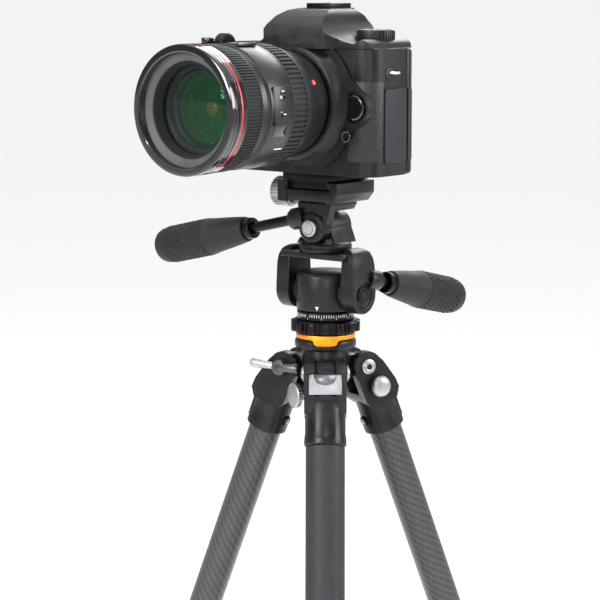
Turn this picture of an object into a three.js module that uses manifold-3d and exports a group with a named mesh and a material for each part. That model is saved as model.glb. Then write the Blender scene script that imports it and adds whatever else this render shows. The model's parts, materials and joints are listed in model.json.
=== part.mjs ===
/* Digital camera with a zoom lens on a two-handle pan and tilt head and a folding carbon tripod.
   Millimetres, +Z up. The lens looks along -Y, the user's left hand side is +X.
   Everything is laid out in a work frame with z = 0 on the underside of the camera and the tripod's
   axis on x = y = 0; the finished group is then lowered or raised to stand on the floor. */
import * as THREE from 'three';
import { mergeVertices } from 'three/addons/utils/BufferGeometryUtils.js';
import Module from 'manifold-3d';

const wasm = await Module();
wasm.setup();

const degree = Math.PI / 180;

/* ---------- driving dimensions ---------- */

const gap = 0.3;            // free space between pieces that touch or slide
const lensSides = 32;       // facets of the lens barrels
const roundSides = 20;      // facets of a large round
const smallSides = 12;      // facets of a small round

/* Tripod legs. Lengths along a leg are measured down from its hinge pin. */
const frontLegAzimuth = 38;     // direction of the front leg, degrees from -Y towards +X
const legSpread = 21;           // angle of a leg from the vertical on its first stop, degrees
const hingeReach = 10;          // from the spider's hub to a hinge pin
const tubeOffset = 4;           // leg tube's axis outside the hinge pin
const bracketLength = 51;       // hinge pin to the lower end of the leg casting
const socketWall = 2.5;         // wall of the casting round the tube
const socketTop = 16;           // where the casting's slot gives way to its socket
const slotFloor = 3;            // how far the slot runs on below that
const blindEnd = 6;             // how far the tube's bore stops short of it
const cheekRadius = 10.5;       // round end of the casting's two cheeks
const cheekGap = 14.6;          // slot between the cheeks
const pinRadius = 3.2;          // hinge pin
const upperTubeRadius = 11.5;
const middleTubeRadius = 9.75;
const lowerTubeRadius = 8;
const tubeTops = [22.3, 60, 75];    // upper, middle and lower tube's top ends below the hinge pin
const tubeWall = 1.3;
const upperTubeEnd = 436;
const middleTubeShows = 38;     // middle tube's end below the upper tube's, collapsed
const lowerTubeShows = 26;      // foot's top below the middle tube's end, collapsed
const upperLockLength = 38;
const lowerLockLength = 34;
const lockWall = 3.7;           // twist collar outside its tube
const lockSeat = 10;            // length of a twist collar below the end of its outer tube
const lockTaper = 5;
const lockLip = 1.6;            // wall of its upper, tapered end
const lockChamfer = [1.5, 2];
const footRadius = 11;
const footLength = 24;
const footCap = [1.6, 4];       // rubber of the foot round the tube's end: wall and height
const footBevel = [3, 4, 6];    // upper slope, and the tread's inset and height
const footTread = 4.2;          // height of the level cut above the foot's tip
const footBore = 6;             // solid end of the tube above the foot
const sleeveThickness = 1.45;   // rubber sleeve on the front leg
const sleeveLength = 250;
const socketRadius = upperTubeRadius + gap + socketWall;
const middleTubeEnd = upperTubeEnd + middleTubeShows;
const lowerTubeEnd = middleTubeEnd + lowerTubeShows;

/* Spider, centre column and the top of the tripod. Heights are below the camera. */
const hingeDrop = 136;          // hinge pins
const collarHeight = 6.4;
const collarBottom = 122;
const collarTop = collarBottom - collarHeight;
const collarWidth = 5.25;       // collar outside the hub
const hubWall = 3.7;            // spider's hub round the column
const hubNeckWall = 2.2;        // its thinner lower end
const hubBottom = 162;
const hubNeckTop = 148;
const armRadius = 8;
const columnRadius = 12;
const columnWall = 1.6;
const hubRadius = columnRadius + gap + hubWall;
const hingeRadius = hubRadius + hingeReach;     // from the tripod's axis to a hinge pin
const collarRadius = hubRadius + collarWidth;
const hubNeckRadius = columnRadius + gap + hubNeckWall;
const columnLength = 330;
const topPlateRadius = 18;
const topPlateThickness = 4;
const tabWidth = 17;
const tabDrop = 7.2;
const clampScrewRadius = 2.6;
const clampScrewDrop = 18;      // column clamp's screw below the hinge pins
const clampScrewReach = 8;      // its length outside the hub
const clampKnobRadius = 8.3;
const clampKnobPlace = [6, 10];         // near and far face of its knob, from the hub
const leverRadii = [5, 3.2, 2.6, 2];    // lever's hub, inner arm, outer arm and hexagonal eye
const leverReach = [16, 21];            // lever's arms either side of the hinge pin
const leverThickness = 6;
const plugRadii = [4, 7.5, 5.5];        // accessory plug's neck, rim and face
const plugPlace = [8, -14];             // plug's centre outside and below the hinge pin

/* Head. */
const lockRingRadius = 24.15;
const lockRingHeight = 9;
const lockRingNotches = 14;
const scaleRingRadius = 19.7;
const scaleRingHeight = 5.9;
const baseHubRadius = 16;       // pan base inside the lock ring
const spigotRadius = 14.5;
const spigotHeight = 15;
const panRadius = 20;
const panHeight = 26.8;         // with the rings below, it sets how high the tilt axis can be
const panChamfer = 3;
const bossReach = 22.2;         // side bosses of the pan body, from the tripod's axis
const bossRadius = 9;
const tiltDrop = 83;            // tilt axis below the camera
const tiltPinRadius = 5;
const forkInner = 22.5;
const forkArm = 11;             // thickness of a fork arm
const pinInset = 3;             // tilt pins end this far inside the arms' outer faces
const dishDepth = 1.6;          // recess in each drum face
const bridgeHalfDepth = 16;
const handleBossWall = 3.2;     // fork's boss round the tilt handle's rod
const handleBossLength = 15;
const drumRadius = 13.2;
const forkTop = 52;
const bridgeTop = 55.3;
const bridgeBottom = 59.2;
const tiltBaseRadius = 18;
const tiltBaseTop = 48;
const rollDrop = 38;            // roll axis below the camera
const rollDiscRadius = 11;
const rollDiscFront = 17;
const rollDiscBack = 8;
const earRadius = 10;
const earBack = 16;
const rollPinRadius = 4;
const rollCapRadius = 5.6;

/* Handles. */
const handleSlope = 13;         // degrees below the horizontal
const rodRadius = 3.75;
const rodInGrip = 30;
const noseRadius = 7.5;
const noseLength = 6;
const coneLength = 35;
const gripRadius = 13.25;
const gripLength = 47;

/* Quick-release clamp and plate. */
const plateWidth = 45;
const plateDepth = 38;
const plateThickness = 5;
const neckHalf = 16.2;
const neckHeight = 2.2;
const dovetailHalf = 19;
const dovetailHeight = 3.8;
const clampHalf = 25.8;
const clampDepth = 42.5;
const clampBottom = 20.4;
const jawSplit = 17;
const screwRadius = 2.5;
const screwDrop = 16;
const knobRadius = 10.2;
const knobLength = 16;

/* Camera body. */
const bodyLeft = 59.3;          // +X side, without the port cover
const bodyRight = 91;
const bodyFront = 27;
const bodySplit = 11;           // parting plane between front shell and rear cover
const bodyBack = 22;
const bodyHeight = 84;
const shellWall = 4;
const gripFront = 45;
const gripInner = 52;           // inner edge of the hand grip
const gripSkin = 5.5;
const shoulderThickness = 4;
const humpHalf = 27;
const humpRise = 26;            // viewfinder hump above the deck
const humpFront = 36;
const shoeHalf = 10.5;          // accessory shoe: half width, rear and front ends, heights of its T slot
const shoeEnds = [-8, 14];
const shoeHeights = [0.8, 2, 2.2, 3.2];
const shoeSlotHalves = [9.3, 6.2];
const modeDialRadius = 12.6;
const modeDialHeight = 8.2;
const rearDialRadius = 17;
const batteryWidth = 18;
const batteryHeight = 53;
const humpHeight = bodyHeight + humpRise;
const lensHeight = 48;
const towerRadius = 36;
const flangeFront = 39.7;
const throatRadius = 24;
const portCoverThickness = 1.7;

/* Lens. Lengths run forward from the mount. */
const lensStart = 40;
const lensEnd = 147;
const lensRadius = 41.75;
const barrelRadius = 40.5;
const innerBarrelRadius = 33;   // sliding front barrel
const coreWall = 2.7;           // fixed barrel round it
const coreRadius = innerBarrelRadius + gap + coreWall;
const rimLength = 15;
const focusLength = 16;
const windowLength = 30.7;
const zoomLength = 15.7;
const zoomRadius = 40;
const focusRadius = 41;
const lensWall = 2.2;
const glassRadius = 28;
const glassBack = 22;           // rear face of the front element behind the rim
const slidingLength = 66;       // sliding barrel, rim included

/* ---------- materials ---------- */

function finish(color, roughness, metalness) {
  return new THREE.MeshStandardMaterial({ color, roughness, metalness });
}

const castBlack = finish(0x1b1c1e, 0.5, 0.4);
const plasticBlack = finish(0x17181a, 0.6, 0.0);
const rubberBlack = finish(0x202122, 0.85, 0.0);
const carbon = finish(0x2e3032, 0.4, 0.1);
const silver = finish(0xc4c6c8, 0.3, 0.9);
const orange = finish(0xf0a030, 0.45, 0.3);
const glass = finish(0x1c3a30, 0.05, 0.0);

/* ---------- shape helpers ---------- */

/* A closed three.js geometry as a solid. A profile may run either way: an inside-out result is turned. */
function solid(geometry) {
  geometry.deleteAttribute('normal');
  geometry.deleteAttribute('uv');
  const merged = mergeVertices(geometry, 1e-4);
  const vertProperties = new Float32Array(merged.attributes.position.array);
  const index = merged.index.array;
  const corner = (i) => new THREE.Vector3().fromArray(vertProperties, 3 * i);
  const triangles = [];
  let volume = 0;
  for (let i = 0; i < index.length; i += 3) {
    const [a, b, c] = [index[i], index[i + 1], index[i + 2]];
    if (a === b || b === c || a === c) continue;
    triangles.push([a, b, c]);
    volume += corner(a).dot(corner(b).cross(corner(c)));
  }
  const ordered = volume < 0 ? triangles.map(([a, b, c]) => [a, c, b]) : triangles;
  const triVerts = new Uint32Array(ordered.flat());
  return new wasm.Manifold(new wasm.Mesh({ numProp: 3, vertProperties, triVerts }));
}

/* Box between two corners. */
function box(x0, x1, y0, y1, z0, z1) {
  const geometry = new THREE.BoxGeometry(x1 - x0, y1 - y0, z1 - z0);
  geometry.translate((x0 + x1) / 2, (y0 + y1) / 2, (z0 + z1) / 2);
  return solid(geometry);
}

/* Turns a geometry made along Y so that it runs along the named axis. */
function turn(geometry, axis) {
  if (axis === 'x') geometry.rotateZ(-Math.PI / 2);
  if (axis === 'z') geometry.rotateX(Math.PI / 2);
  return geometry;
}

/* Cylinder along an axis, from one height to another; at = the other two coordinates in x, y, z order. */
function rod(axis, radius, from, to, at = [0, 0], sides = roundSides) {
  const geometry = new THREE.CylinderGeometry(radius, radius, to - from, sides);
  turn(geometry, axis);
  const middle = (from + to) / 2;
  const places = { x: [middle, at[0], at[1]], y: [at[0], middle, at[1]], z: [at[0], at[1], middle] };
  geometry.translate(...places[axis]);
  return solid(geometry);
}

/* Solid of revolution from [radius, height] points, about an axis through `at`. */
function turned(axis, profile, at = [0, 0], sides = roundSides) {
  const points = profile.map(([r, h]) => new THREE.Vector2(r, h));
  const geometry = turn(new THREE.LatheGeometry(points, sides), axis);
  const places = { x: [0, at[0], at[1]], y: [at[0], 0, at[1]], z: [at[0], at[1], 0] };
  geometry.translate(...places[axis]);
  return solid(geometry);
}

/* Outline drawn in the named plane, from one height to another along the third axis. */
function prism(plane, points, from, to) {
  const shape = new THREE.Shape(points.map(([u, v]) => new THREE.Vector2(u, v)));
  const geometry = new THREE.ExtrudeGeometry(shape, { depth: to - from, bevelEnabled: false });
  const [x, y, z] = [new THREE.Vector3(1, 0, 0), new THREE.Vector3(0, 1, 0), new THREE.Vector3(0, 0, 1)];
  const frames = { xy: [x, y, z], yz: [y, z, x], xz: [x, z, y.clone().negate()] };
  geometry.applyMatrix4(new THREE.Matrix4().makeBasis(...frames[plane]));
  const shift = { xy: [0, 0, from], yz: [from, 0, 0], xz: [0, to, 0] };
  geometry.translate(...shift[plane]);
  return solid(geometry);
}

/* Points of an arc, angles in degrees, both ends included. */
function arc(u, v, radius, start, end, steps) {
  const points = [];
  for (let i = 0; i <= steps; i += 1) {
    const angle = (start + ((end - start) * i) / steps) * degree;
    points.push([u + radius * Math.cos(angle), v + radius * Math.sin(angle)]);
  }
  return points;
}

/* Rectangle with round corners, anticlockwise. */
function roundRect(u0, u1, v0, v1, radius, steps = 3) {
  return [
    ...arc(u1 - radius, v0 + radius, radius, -90, 0, steps),
    ...arc(u1 - radius, v1 - radius, radius, 0, 90, steps),
    ...arc(u0 + radius, v1 - radius, radius, 90, 180, steps),
    ...arc(u0 + radius, v0 + radius, radius, 180, 270, steps),
  ];
}

/* Circle with square notches, for a knob or ring that is turned by hand. */
function notched(radius, depth, count, share = 0.35) {
  const points = [];
  const pitch = 360 / count;
  for (let i = 0; i < count; i += 1) {
    const start = i * pitch;
    points.push(...arc(0, 0, radius, start, start + pitch * (1 - share), 2));
    points.push(...arc(0, 0, radius - depth, start + pitch * (1 - share), start + pitch, 1));
  }
  return points;
}

/* Tube wall between two radii. */
function ring(axis, outer, inner, from, to, at = [0, 0], sides = roundSides) {
  const profile = [[inner, from], [outer, from], [outer, to], [inner, to], [inner, from]];
  return turned(axis, profile, at, sides);
}

const root = new THREE.Group();

/* Adds a finished solid to a group as a named mesh. */
function piece(name, manifold, material, group = root) {
  const mesh = manifold.getMesh();
  const geometry = new THREE.BufferGeometry();
  geometry.setAttribute('position', new THREE.BufferAttribute(new Float32Array(mesh.vertProperties), 3));
  geometry.setIndex(new THREE.BufferAttribute(new Uint32Array(mesh.triVerts), 1));
  geometry.computeVertexNormals();
  const node = new THREE.Mesh(geometry, material);
  node.name = name;
  group.add(node);
  return node;
}

/* ---------- tripod legs ---------- */

/* A leg's own frame: hinge pin at the origin along Y, the leg down along -Z, outwards is +X. */
const stopTop = 3.2;
const stopBottom = 17.8;
const stopHalf = 11.2;
const stopInner = 10.3;
const stopLip = 2.4;            // thickness of the stop's upper edge
const stopToe = 6.6;            // thickness of its lower edge
const tongueRoot = 4;           // the stop's tongue runs in to this distance from the hinge pin
const tongueHeight = 4.5;
const scoopRadius = 9;          // finger scoop in the stop's upper edge
const scoopHalf = 6;
const scoopCentre = [11.5, 1.5];

function legBracket() {
  const cheekSide = [
    ...arc(0, 0, cheekRadius, 20, 180, 8),
    [tubeOffset - socketRadius, -socketTop - slotFloor - 1],
    [tubeOffset + socketRadius, -socketTop - slotFloor - 1],
  ];
  const stopRecess = [
    [stopInner - gap, -stopTop + gap],
    [socketRadius + tubeOffset + 1, -stopTop + gap],
    [socketRadius + tubeOffset + 1, -stopBottom - gap],
    [stopInner - gap, -stopBottom - gap],
  ];
  const axis = [tubeOffset, 0];
  return prism('xz', cheekSide, -socketRadius, socketRadius)
    .add(rod('z', socketRadius, -bracketLength, -socketTop, axis))
    .subtract(box(-2 * socketRadius, 2 * socketRadius, -cheekGap / 2, cheekGap / 2, -socketTop - slotFloor,
      2 * cheekRadius))
    .subtract(prism('xz', stopRecess, -stopHalf - gap, stopHalf + gap))
    .subtract(rod('z', upperTubeRadius + gap, -bracketLength - 1, -socketTop - blindEnd, axis))
    .subtract(rod('y', pinRadius + gap, -socketRadius - 1, socketRadius + 1, [0, 0], smallSides));
}

function angleStop() {
  const side = [
    [stopInner, -stopTop],
    [stopInner + stopLip, -stopTop],
    [stopInner + stopToe, -stopBottom],
    [stopInner, -stopBottom],
  ];
  const tongueHalf = cheekGap / 2 - gap;
  return prism('xz', side, -stopHalf, stopHalf)
    .add(box(tongueRoot, stopInner + 0.5, -tongueHalf, tongueHalf, -stopBottom, -stopBottom + tongueHeight))
    .subtract(rod('y', scoopRadius, -scoopHalf, scoopHalf,
      [stopInner + scoopCentre[0], -stopTop - scoopCentre[1]], smallSides));
}

/* Twist collar: seated on one tube's end, with a smaller throat for the tube that slides in it. */
function twistLock(outerTube, innerTube, end, length) {
  const axis = [tubeOffset, 0];
  const outer = outerTube + lockWall;
  const top = -end + length - lockSeat;
  const bottom = top - length;
  const profile = [
    [0, bottom],
    [outer - lockChamfer[0], bottom],
    [outer, bottom + lockChamfer[1]],
    [outer, top - lockTaper],
    [outerTube + lockLip, top],
    [0, top],
  ];
  return turned('z', profile, axis, roundSides)
    .subtract(rod('z', outerTube + gap, -end - gap, top + 1, axis))
    .subtract(rod('z', innerTube + gap, bottom - 1, -end, axis));
}

function legTube(radius, from, to) {
  return ring('z', radius, radius - tubeWall, -to, -from, [tubeOffset, 0]);
}

/* Lowest tube with its rubber foot, cut level where it stands on the floor. */
function footTube(from) {
  const axis = [tubeOffset, 0];
  const top = -lowerTubeEnd;
  const tip = top - footLength;
  const foot = [
    [0, top + footCap[1]],
    [lowerTubeRadius + footCap[0], top + footCap[1]],
    [footRadius, top - footBevel[0]],
    [footRadius, tip + footBevel[2]],
    [footRadius - footBevel[1], tip],
    [0, tip],
  ];
  const tube = rod('z', lowerTubeRadius, top, -from, axis)
    .subtract(rod('z', lowerTubeRadius - tubeWall, top + footBore, -from + 1, axis));
  const levelSize = 8 * footRadius;
  const levelDepth = 2 * footRadius;
  const level = new THREE.BoxGeometry(levelSize, levelSize, levelDepth);
  level.translate(0, 0, -levelDepth / 2);
  level.rotateY(legSpread * degree);
  level.translate(tubeOffset, 0, tip + footTread);
  return tube.add(turned('z', foot, axis)).subtract(solid(level));
}

for (let leg = 1; leg <= 3; leg += 1) {
  const around = new THREE.Group();
  around.rotation.z = (frontLegAzimuth - 90 + 120 * (leg - 1)) * degree;
  root.add(around);
  const hinge = new THREE.Group();
  hinge.position.set(hingeRadius, 0, -hingeDrop);
  hinge.rotation.y = -legSpread * degree;
  around.add(hinge);
  const name = (part) => `leg_${leg}_${part}`;
  piece(name('bracket'), legBracket(), castBlack, hinge);
  piece(name('angle_stop'), angleStop(), silver, hinge);
  piece(name('upper_tube'), legTube(upperTubeRadius, tubeTops[0], upperTubeEnd), carbon, hinge);
  piece(name('upper_lock'), twistLock(upperTubeRadius, middleTubeRadius, upperTubeEnd, upperLockLength),
    rubberBlack, hinge);
  piece(name('middle_tube'), legTube(middleTubeRadius, tubeTops[1], middleTubeEnd), carbon, hinge);
  piece(name('lower_lock'), twistLock(middleTubeRadius, lowerTubeRadius, middleTubeEnd, lowerLockLength),
    rubberBlack, hinge);
  piece(name('lower_tube'), footTube(tubeTops[2]), carbon, hinge);
  if (leg === 1) {
    const inner = upperTubeRadius + gap;
    const sleeve = ring('z', inner + sleeveThickness, inner, -bracketLength - gap - sleeveLength,
      -bracketLength - gap, [tubeOffset, 0]);
    piece(name('sleeve'), sleeve, rubberBlack, hinge);
  }
}

/* ---------- spider and centre column ---------- */

/* Turns a solid made for the front leg's direction (+X) round to another azimuth. */
function swing(manifold, azimuth) {
  return manifold.rotate([0, 0, azimuth - 90]);
}

const frontTab = tabWidth / 2;
const tabBottom = -(collarTop - gap) - tabDrop + topPlateThickness;

function spider() {
  let body = rod('z', collarRadius, -collarBottom, -collarTop)
    .add(rod('z', hubRadius, -hubNeckTop, -collarBottom))
    .add(rod('z', hubNeckRadius, -hubBottom, -hubNeckTop));
  for (let leg = 0; leg < 3; leg += 1) {
    const half = cheekGap / 2 - gap;
    const arm = box(hubRadius - 4, hingeRadius, -half, half, -hingeDrop - armRadius, -hingeDrop + armRadius)
      .add(rod('y', armRadius, -half, half, [hingeRadius, -hingeDrop], smallSides))
      .add(rod('y', pinRadius, -socketRadius, socketRadius, [hingeRadius, -hingeDrop], smallSides));
    body = body.add(swing(arm, frontLegAzimuth + 120 * leg));
  }
  const notchHalf = frontTab + gap;
  const notch = box(hubRadius, collarRadius + 2, -notchHalf, notchHalf, tabBottom - gap, -collarTop + 1);
  return body
    .subtract(swing(notch, frontLegAzimuth))
    .subtract(swing(clampScrew(gap), frontLegAzimuth - 60))
    .subtract(rod('z', columnRadius + gap, -hubBottom - 1, -collarTop + 1));
}

/* Screw of the column clamp, along +X; grown by a clearance it is its own bore. */
const clampHeight = -hingeDrop - clampScrewDrop;
function clampScrew(grow) {
  const inner = columnRadius + gap + 0.2 - grow;
  return rod('x', clampScrewRadius + grow, inner, hubRadius + clampScrewReach, [0, clampHeight], smallSides);
}

function columnClampKnob() {
  const [near, far] = clampKnobPlace;
  const disc = prism('yz', notched(clampKnobRadius, 0.8, 12), hubRadius + near, hubRadius + far)
    .translate([0, 0, clampHeight]);
  return swing(clampScrew(0).add(disc), frontLegAzimuth - 60);
}

/* Silver lever on the outer side of the third leg's hinge. */
function columnLever() {
  const [hub, inner, outer, eye] = leverRadii;
  const side = socketRadius + gap + 0.2;
  const middle = side + leverThickness / 2;
  const pin = [hingeRadius, -hingeDrop];
  const lever = rod('y', hub, side, side + leverThickness, pin, smallSides)
    .add(rod('x', inner, hingeRadius - leverReach[0], hingeRadius, [middle + 0.2, -hingeDrop], smallSides))
    .add(rod('x', outer, hingeRadius, hingeRadius + leverReach[1], [middle, -hingeDrop + 1], smallSides))
    .subtract(rod('y', eye, side - 1, side + leverThickness + 1, pin, 6));
  return swing(lever, frontLegAzimuth + 240);
}

/* Round plug of the accessory thread on the side of the second leg's casting. */
function shoulderKnob() {
  const side = -socketRadius - gap;
  const [neck, rim, face] = plugRadii;
  const plug = [
    [0, side],
    [neck, side],
    [neck, side - 1.5],
    [rim, side - 2],
    [rim, side - 4.5],
    [face, side - 6.5],
    [0, side - 7],
  ];
  const knob = turned('y', plug, [hingeRadius + plugPlace[0], -hingeDrop + plugPlace[1]], smallSides);
  return swing(knob, frontLegAzimuth + 120);
}

piece('spider', spider(), castBlack);
piece('column_clamp_knob', columnClampKnob(), silver);
piece('column_lever', columnLever(), silver);
piece('shoulder_knob', shoulderKnob(), silver);

const columnTop = -collarTop + gap;
piece('center_column', ring('z', columnRadius, columnRadius - columnWall, columnTop - columnLength,
  columnTop - gap), castBlack);

const topPlateTop = columnTop + topPlateThickness;
const tab = box(hubRadius - 2, collarRadius, -frontTab, frontTab, columnTop, topPlateTop)
  .add(box(hubRadius + gap, collarRadius, -frontTab, frontTab, tabBottom, columnTop + 1));
piece('top_plate', rod('z', topPlateRadius, columnTop, topPlateTop).add(swing(tab, frontLegAzimuth)), orange);

/* ---------- pan and tilt head ---------- */

const headBottom = topPlateTop + gap;
const ringTop = headBottom + lockRingHeight;
const scaleTop = ringTop + gap + scaleRingHeight;
const panBottom = scaleTop + gap;
const panTop = panBottom + panHeight;
const spigotTop = panBottom + spigotHeight;

const lockRing = prism('xy', notched(lockRingRadius, 1.6, lockRingNotches), headBottom + gap, ringTop)
  .subtract(rod('z', baseHubRadius + gap, headBottom - 1, ringTop + 1));
piece('lock_ring', lockRing, castBlack);

piece('pan_base', turned('z', [
  [0, headBottom],
  [baseHubRadius, headBottom],
  [baseHubRadius, ringTop + gap],
  [scaleRingRadius, ringTop + gap],
  [scaleRingRadius, scaleTop],
  [spigotRadius, scaleTop],
  [spigotRadius, spigotTop],
  [0, spigotTop],
]), castBlack);

const tiltAt = [0, -tiltDrop];
const panBody = turned('z', [
  [0, panBottom],
  [panRadius - 0.6, panBottom],
  [panRadius, panBottom + 0.6],
  [panRadius, panTop - panChamfer],
  [panRadius - panChamfer, panTop],
  [0, panTop],
])
  .add(rod('x', bossRadius, -bossReach, bossReach, tiltAt))
  .add(rod('x', tiltPinRadius, -forkInner - forkArm + pinInset, forkInner + forkArm - pinInset, tiltAt,
    smallSides))
  .subtract(rod('z', spigotRadius + gap, panBottom - 1, spigotTop + gap));
piece('pan_body', panBody, castBlack);

/* A handle points along +Y of its own frame, from the middle of its boss. */
function handleRod(noseStart) {
  return rod('y', rodRadius, 0, noseStart + rodInGrip, [0, 0], smallSides);
}

function handleGrip(noseStart) {
  const coneStart = noseStart + noseLength;
  const coneEnd = coneStart + coneLength;
  const end = coneEnd + gripLength;
  const profile = [
    [0, noseStart],
    [noseRadius - 1, noseStart],
    [noseRadius, noseStart + 1],
    [noseRadius, coneStart],
    [noseRadius + 1.2, coneStart + 0.5],
    [gripRadius - 0.9, coneEnd - 6],
    [gripRadius, coneEnd],
    [gripRadius, end - 6],
    [gripRadius - 2, end - 2],
    [gripRadius - 5, end],
    [0, end],
  ];
  return turned('y', profile)
    .subtract(rod('y', rodRadius + gap, noseStart - 1, noseStart + rodInGrip + gap, [0, 0], smallSides));
}

/* Places a handle's solid: the place of its boss and the heading of its handle, 0 = +Y, 90 = -X. */
function placeHandle(manifold, place, heading) {
  return manifold.rotate([-handleSlope, 0, heading]).translate(place);
}

const tiltHandle = { place: [forkInner + forkArm / 2 + 2, 5, -tiltDrop + 10.8], heading: 0, nose: 23 };
const rollBossMiddle = -(rollDiscFront + rollDiscBack) / 2 - 0.5;
const rollHandle = { place: [-12, rollBossMiddle, -rollDrop + 5.7], heading: 90, nose: 42 };

function handleBoss(handle, radius, from, to) {
  return placeHandle(rod('y', radius, from, to, [0, 0], smallSides), handle.place, handle.heading);
}

/* Fork: a bridge under the tilt base and two arms that carry the tilt pins. */
const forkOuter = forkInner + forkArm;
const armTopHalf = 10;
const armSide = [
  ...arc(0, -tiltDrop, drumRadius, 180, 360, 12),
  [armTopHalf + 1.5, -forkTop - 8],
  ...arc(armTopHalf - 5, -forkTop - 5, 5, 0, 90, 3),
  ...arc(-armTopHalf + 5, -forkTop - 5, 5, 90, 180, 3),
  [-armTopHalf - 1.5, -forkTop - 8],
];
const armFront = (sign) => [
  [sign * forkInner, -tiltDrop - drumRadius - 1],
  [sign * forkOuter, -tiltDrop - drumRadius - 1],
  [sign * forkOuter, -forkTop - 9],
  [sign * (forkOuter - 5), -forkTop + 1],
  [sign * forkInner, -forkTop + 1],
];
let forkBody = box(-forkInner - 1, forkInner + 1, -bridgeHalfDepth, bridgeHalfDepth, -bridgeBottom, -bridgeTop);
for (const sign of [-1, 1]) {
  const outline = sign > 0 ? armFront(sign) : armFront(sign).reverse();
  forkBody = forkBody.add(prism('yz', armSide, -forkOuter, forkOuter)
    .intersect(prism('xz', outline, -40, 40)));
}
forkBody = forkBody
  .add(handleBoss(tiltHandle, rodRadius + handleBossWall, 0, handleBossLength))
  .subtract(rod('x', tiltPinRadius + gap, -forkOuter - 1, forkOuter + 1, tiltAt, smallSides))
  .subtract(rod('x', drumRadius - 3.5, forkOuter - dishDepth, forkOuter + 1, tiltAt))
  .subtract(handleBoss(tiltHandle, rodRadius + gap, -gap, 60));
piece('fork', forkBody, castBlack);
piece('tilt_rod', placeHandle(handleRod(tiltHandle.nose), tiltHandle.place, tiltHandle.heading), castBlack);
piece('tilt_grip', placeHandle(handleGrip(tiltHandle.nose), tiltHandle.place, tiltHandle.heading), rubberBlack);

/* Tilt base: a round foot on the fork's bridge with the rear ear of the roll hinge. */
const rollAt = [0, -rollDrop];
const earFront = -rollDiscBack + gap;
const ear = rod('y', earRadius, earFront, earBack, rollAt)
  .add(prism('xz', [[-13, -tiltBaseTop - 1], [13, -tiltBaseTop - 1], [earRadius - 0.5, -rollDrop - 2],
    [-earRadius + 0.5, -rollDrop - 2]], earFront, earBack));
const tiltBase = rod('z', tiltBaseRadius, -bridgeTop + gap, -tiltBaseTop)
  .add(ear)
  .subtract(rod('y', rollDiscRadius + gap, -tiltBaseRadius - 1, earFront, rollAt))
  .subtract(rod('y', rollPinRadius + gap, -30, 30, rollAt, smallSides));
piece('tilt_base', tiltBase, castBlack);

/* Roll bracket: front disc on the roll pin, a wedge up to the clamp, and the boss of the left handle. */
const wedgeTop = -clampBottom - gap;
const bridgeFloor = -rollDrop + rollDiscRadius + 0.4;
const wedge = [[-rollDiscRadius + 2, -rollDrop + 5], [rollDiscRadius - 2, -rollDrop - 5], [15, wedgeTop],
  [-12, wedgeTop]];
const rollBracket = rod('y', rollDiscRadius, -rollDiscFront, -rollDiscBack, rollAt)
  .add(prism('xz', wedge, -rollDiscFront + 1.5, -rollDiscBack))
  .add(prism('xz', [[-12, bridgeFloor], [14, bridgeFloor], [15, wedgeTop], [-12, wedgeTop]],
    -rollDiscBack - 1, earBack - 2))
  .add(handleBoss(rollHandle, rodRadius + 3.4, -4, 8)
    .intersect(box(-40, 40, -rollDiscFront - 1.6, -rollDiscBack, -100, 0)))
  .subtract(rod('y', rollPinRadius + gap, -30, 0, rollAt, smallSides))
  .subtract(handleBoss(rollHandle, rodRadius + gap, -gap, 30));
piece('roll_bracket', rollBracket, castBlack);
piece('roll_pin', rod('y', rollPinRadius, -rollDiscFront - 1, earBack + 1, rollAt, smallSides)
  .add(rod('y', rollCapRadius, -rollDiscFront - gap - 2.2, -rollDiscFront - gap, rollAt, smallSides)), silver);
piece('roll_rod', placeHandle(handleRod(rollHandle.nose), rollHandle.place, rollHandle.heading), castBlack);
piece('roll_grip', placeHandle(handleGrip(rollHandle.nose), rollHandle.place, rollHandle.heading), rubberBlack);

/* ---------- quick-release clamp ---------- */

const plateTop = -gap;
const plateBottom = plateTop - plateThickness;
const neckBottom = plateBottom - neckHeight;
const dovetailBottom = neckBottom - dovetailHeight;
const jawTop = plateBottom - gap;
const channelFloor = dovetailBottom - gap;
const lip = neckHalf + gap + 0.1;
const flare = dovetailHalf + gap + 0.2;

const plate = prism('xz', [
  [-dovetailHalf, dovetailBottom],
  [dovetailHalf, dovetailBottom],
  [neckHalf, neckBottom],
  [neckHalf, plateBottom],
  [plateWidth / 2, plateBottom],
  [plateWidth / 2, plateTop],
  [-plateWidth / 2, plateTop],
  [-plateWidth / 2, plateBottom],
  [-neckHalf, plateBottom],
  [-neckHalf, neckBottom],
], -plateDepth / 2, plateDepth / 2);
piece('quick_plate', plate, castBlack);

const screwHeight = -screwDrop;
const screwBore = rod('x', screwRadius + gap, -clampHalf - 2, 3, [0, screwHeight], smallSides);
const clampBody = prism('xz', [
  [-jawSplit, -clampBottom],
  [clampHalf - 5, -clampBottom],
  [clampHalf, -clampBottom + 6],
  [clampHalf, jawTop],
  [lip, jawTop],
  [lip, neckBottom],
  [flare, channelFloor],
  [-jawSplit, channelFloor],
], -clampDepth / 2, clampDepth / 2).subtract(screwBore);
piece('clamp_body', clampBody, castBlack);

const jawInner = -jawSplit - gap;
const clampJaw = prism('xz', [
  [-clampHalf, -clampBottom],
  [jawInner, -clampBottom],
  [jawInner, channelFloor],
  [-flare, channelFloor],
  [-lip, neckBottom],
  [-lip, jawTop],
  [-clampHalf, jawTop],
], -clampDepth / 2, clampDepth / 2).subtract(screwBore);
piece('clamp_jaw', clampJaw, castBlack);

const knobFace = -clampHalf - gap;
const clampKnob = prism('yz', notched(knobRadius, 0.5, 18), knobFace - knobLength, knobFace)
  .translate([0, 0, screwHeight])
  .add(rod('x', screwRadius, knobFace - 2, 0, [0, screwHeight], smallSides));
piece('clamp_knob', clampKnob, silver);

/* ---------- camera body ---------- */

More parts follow.
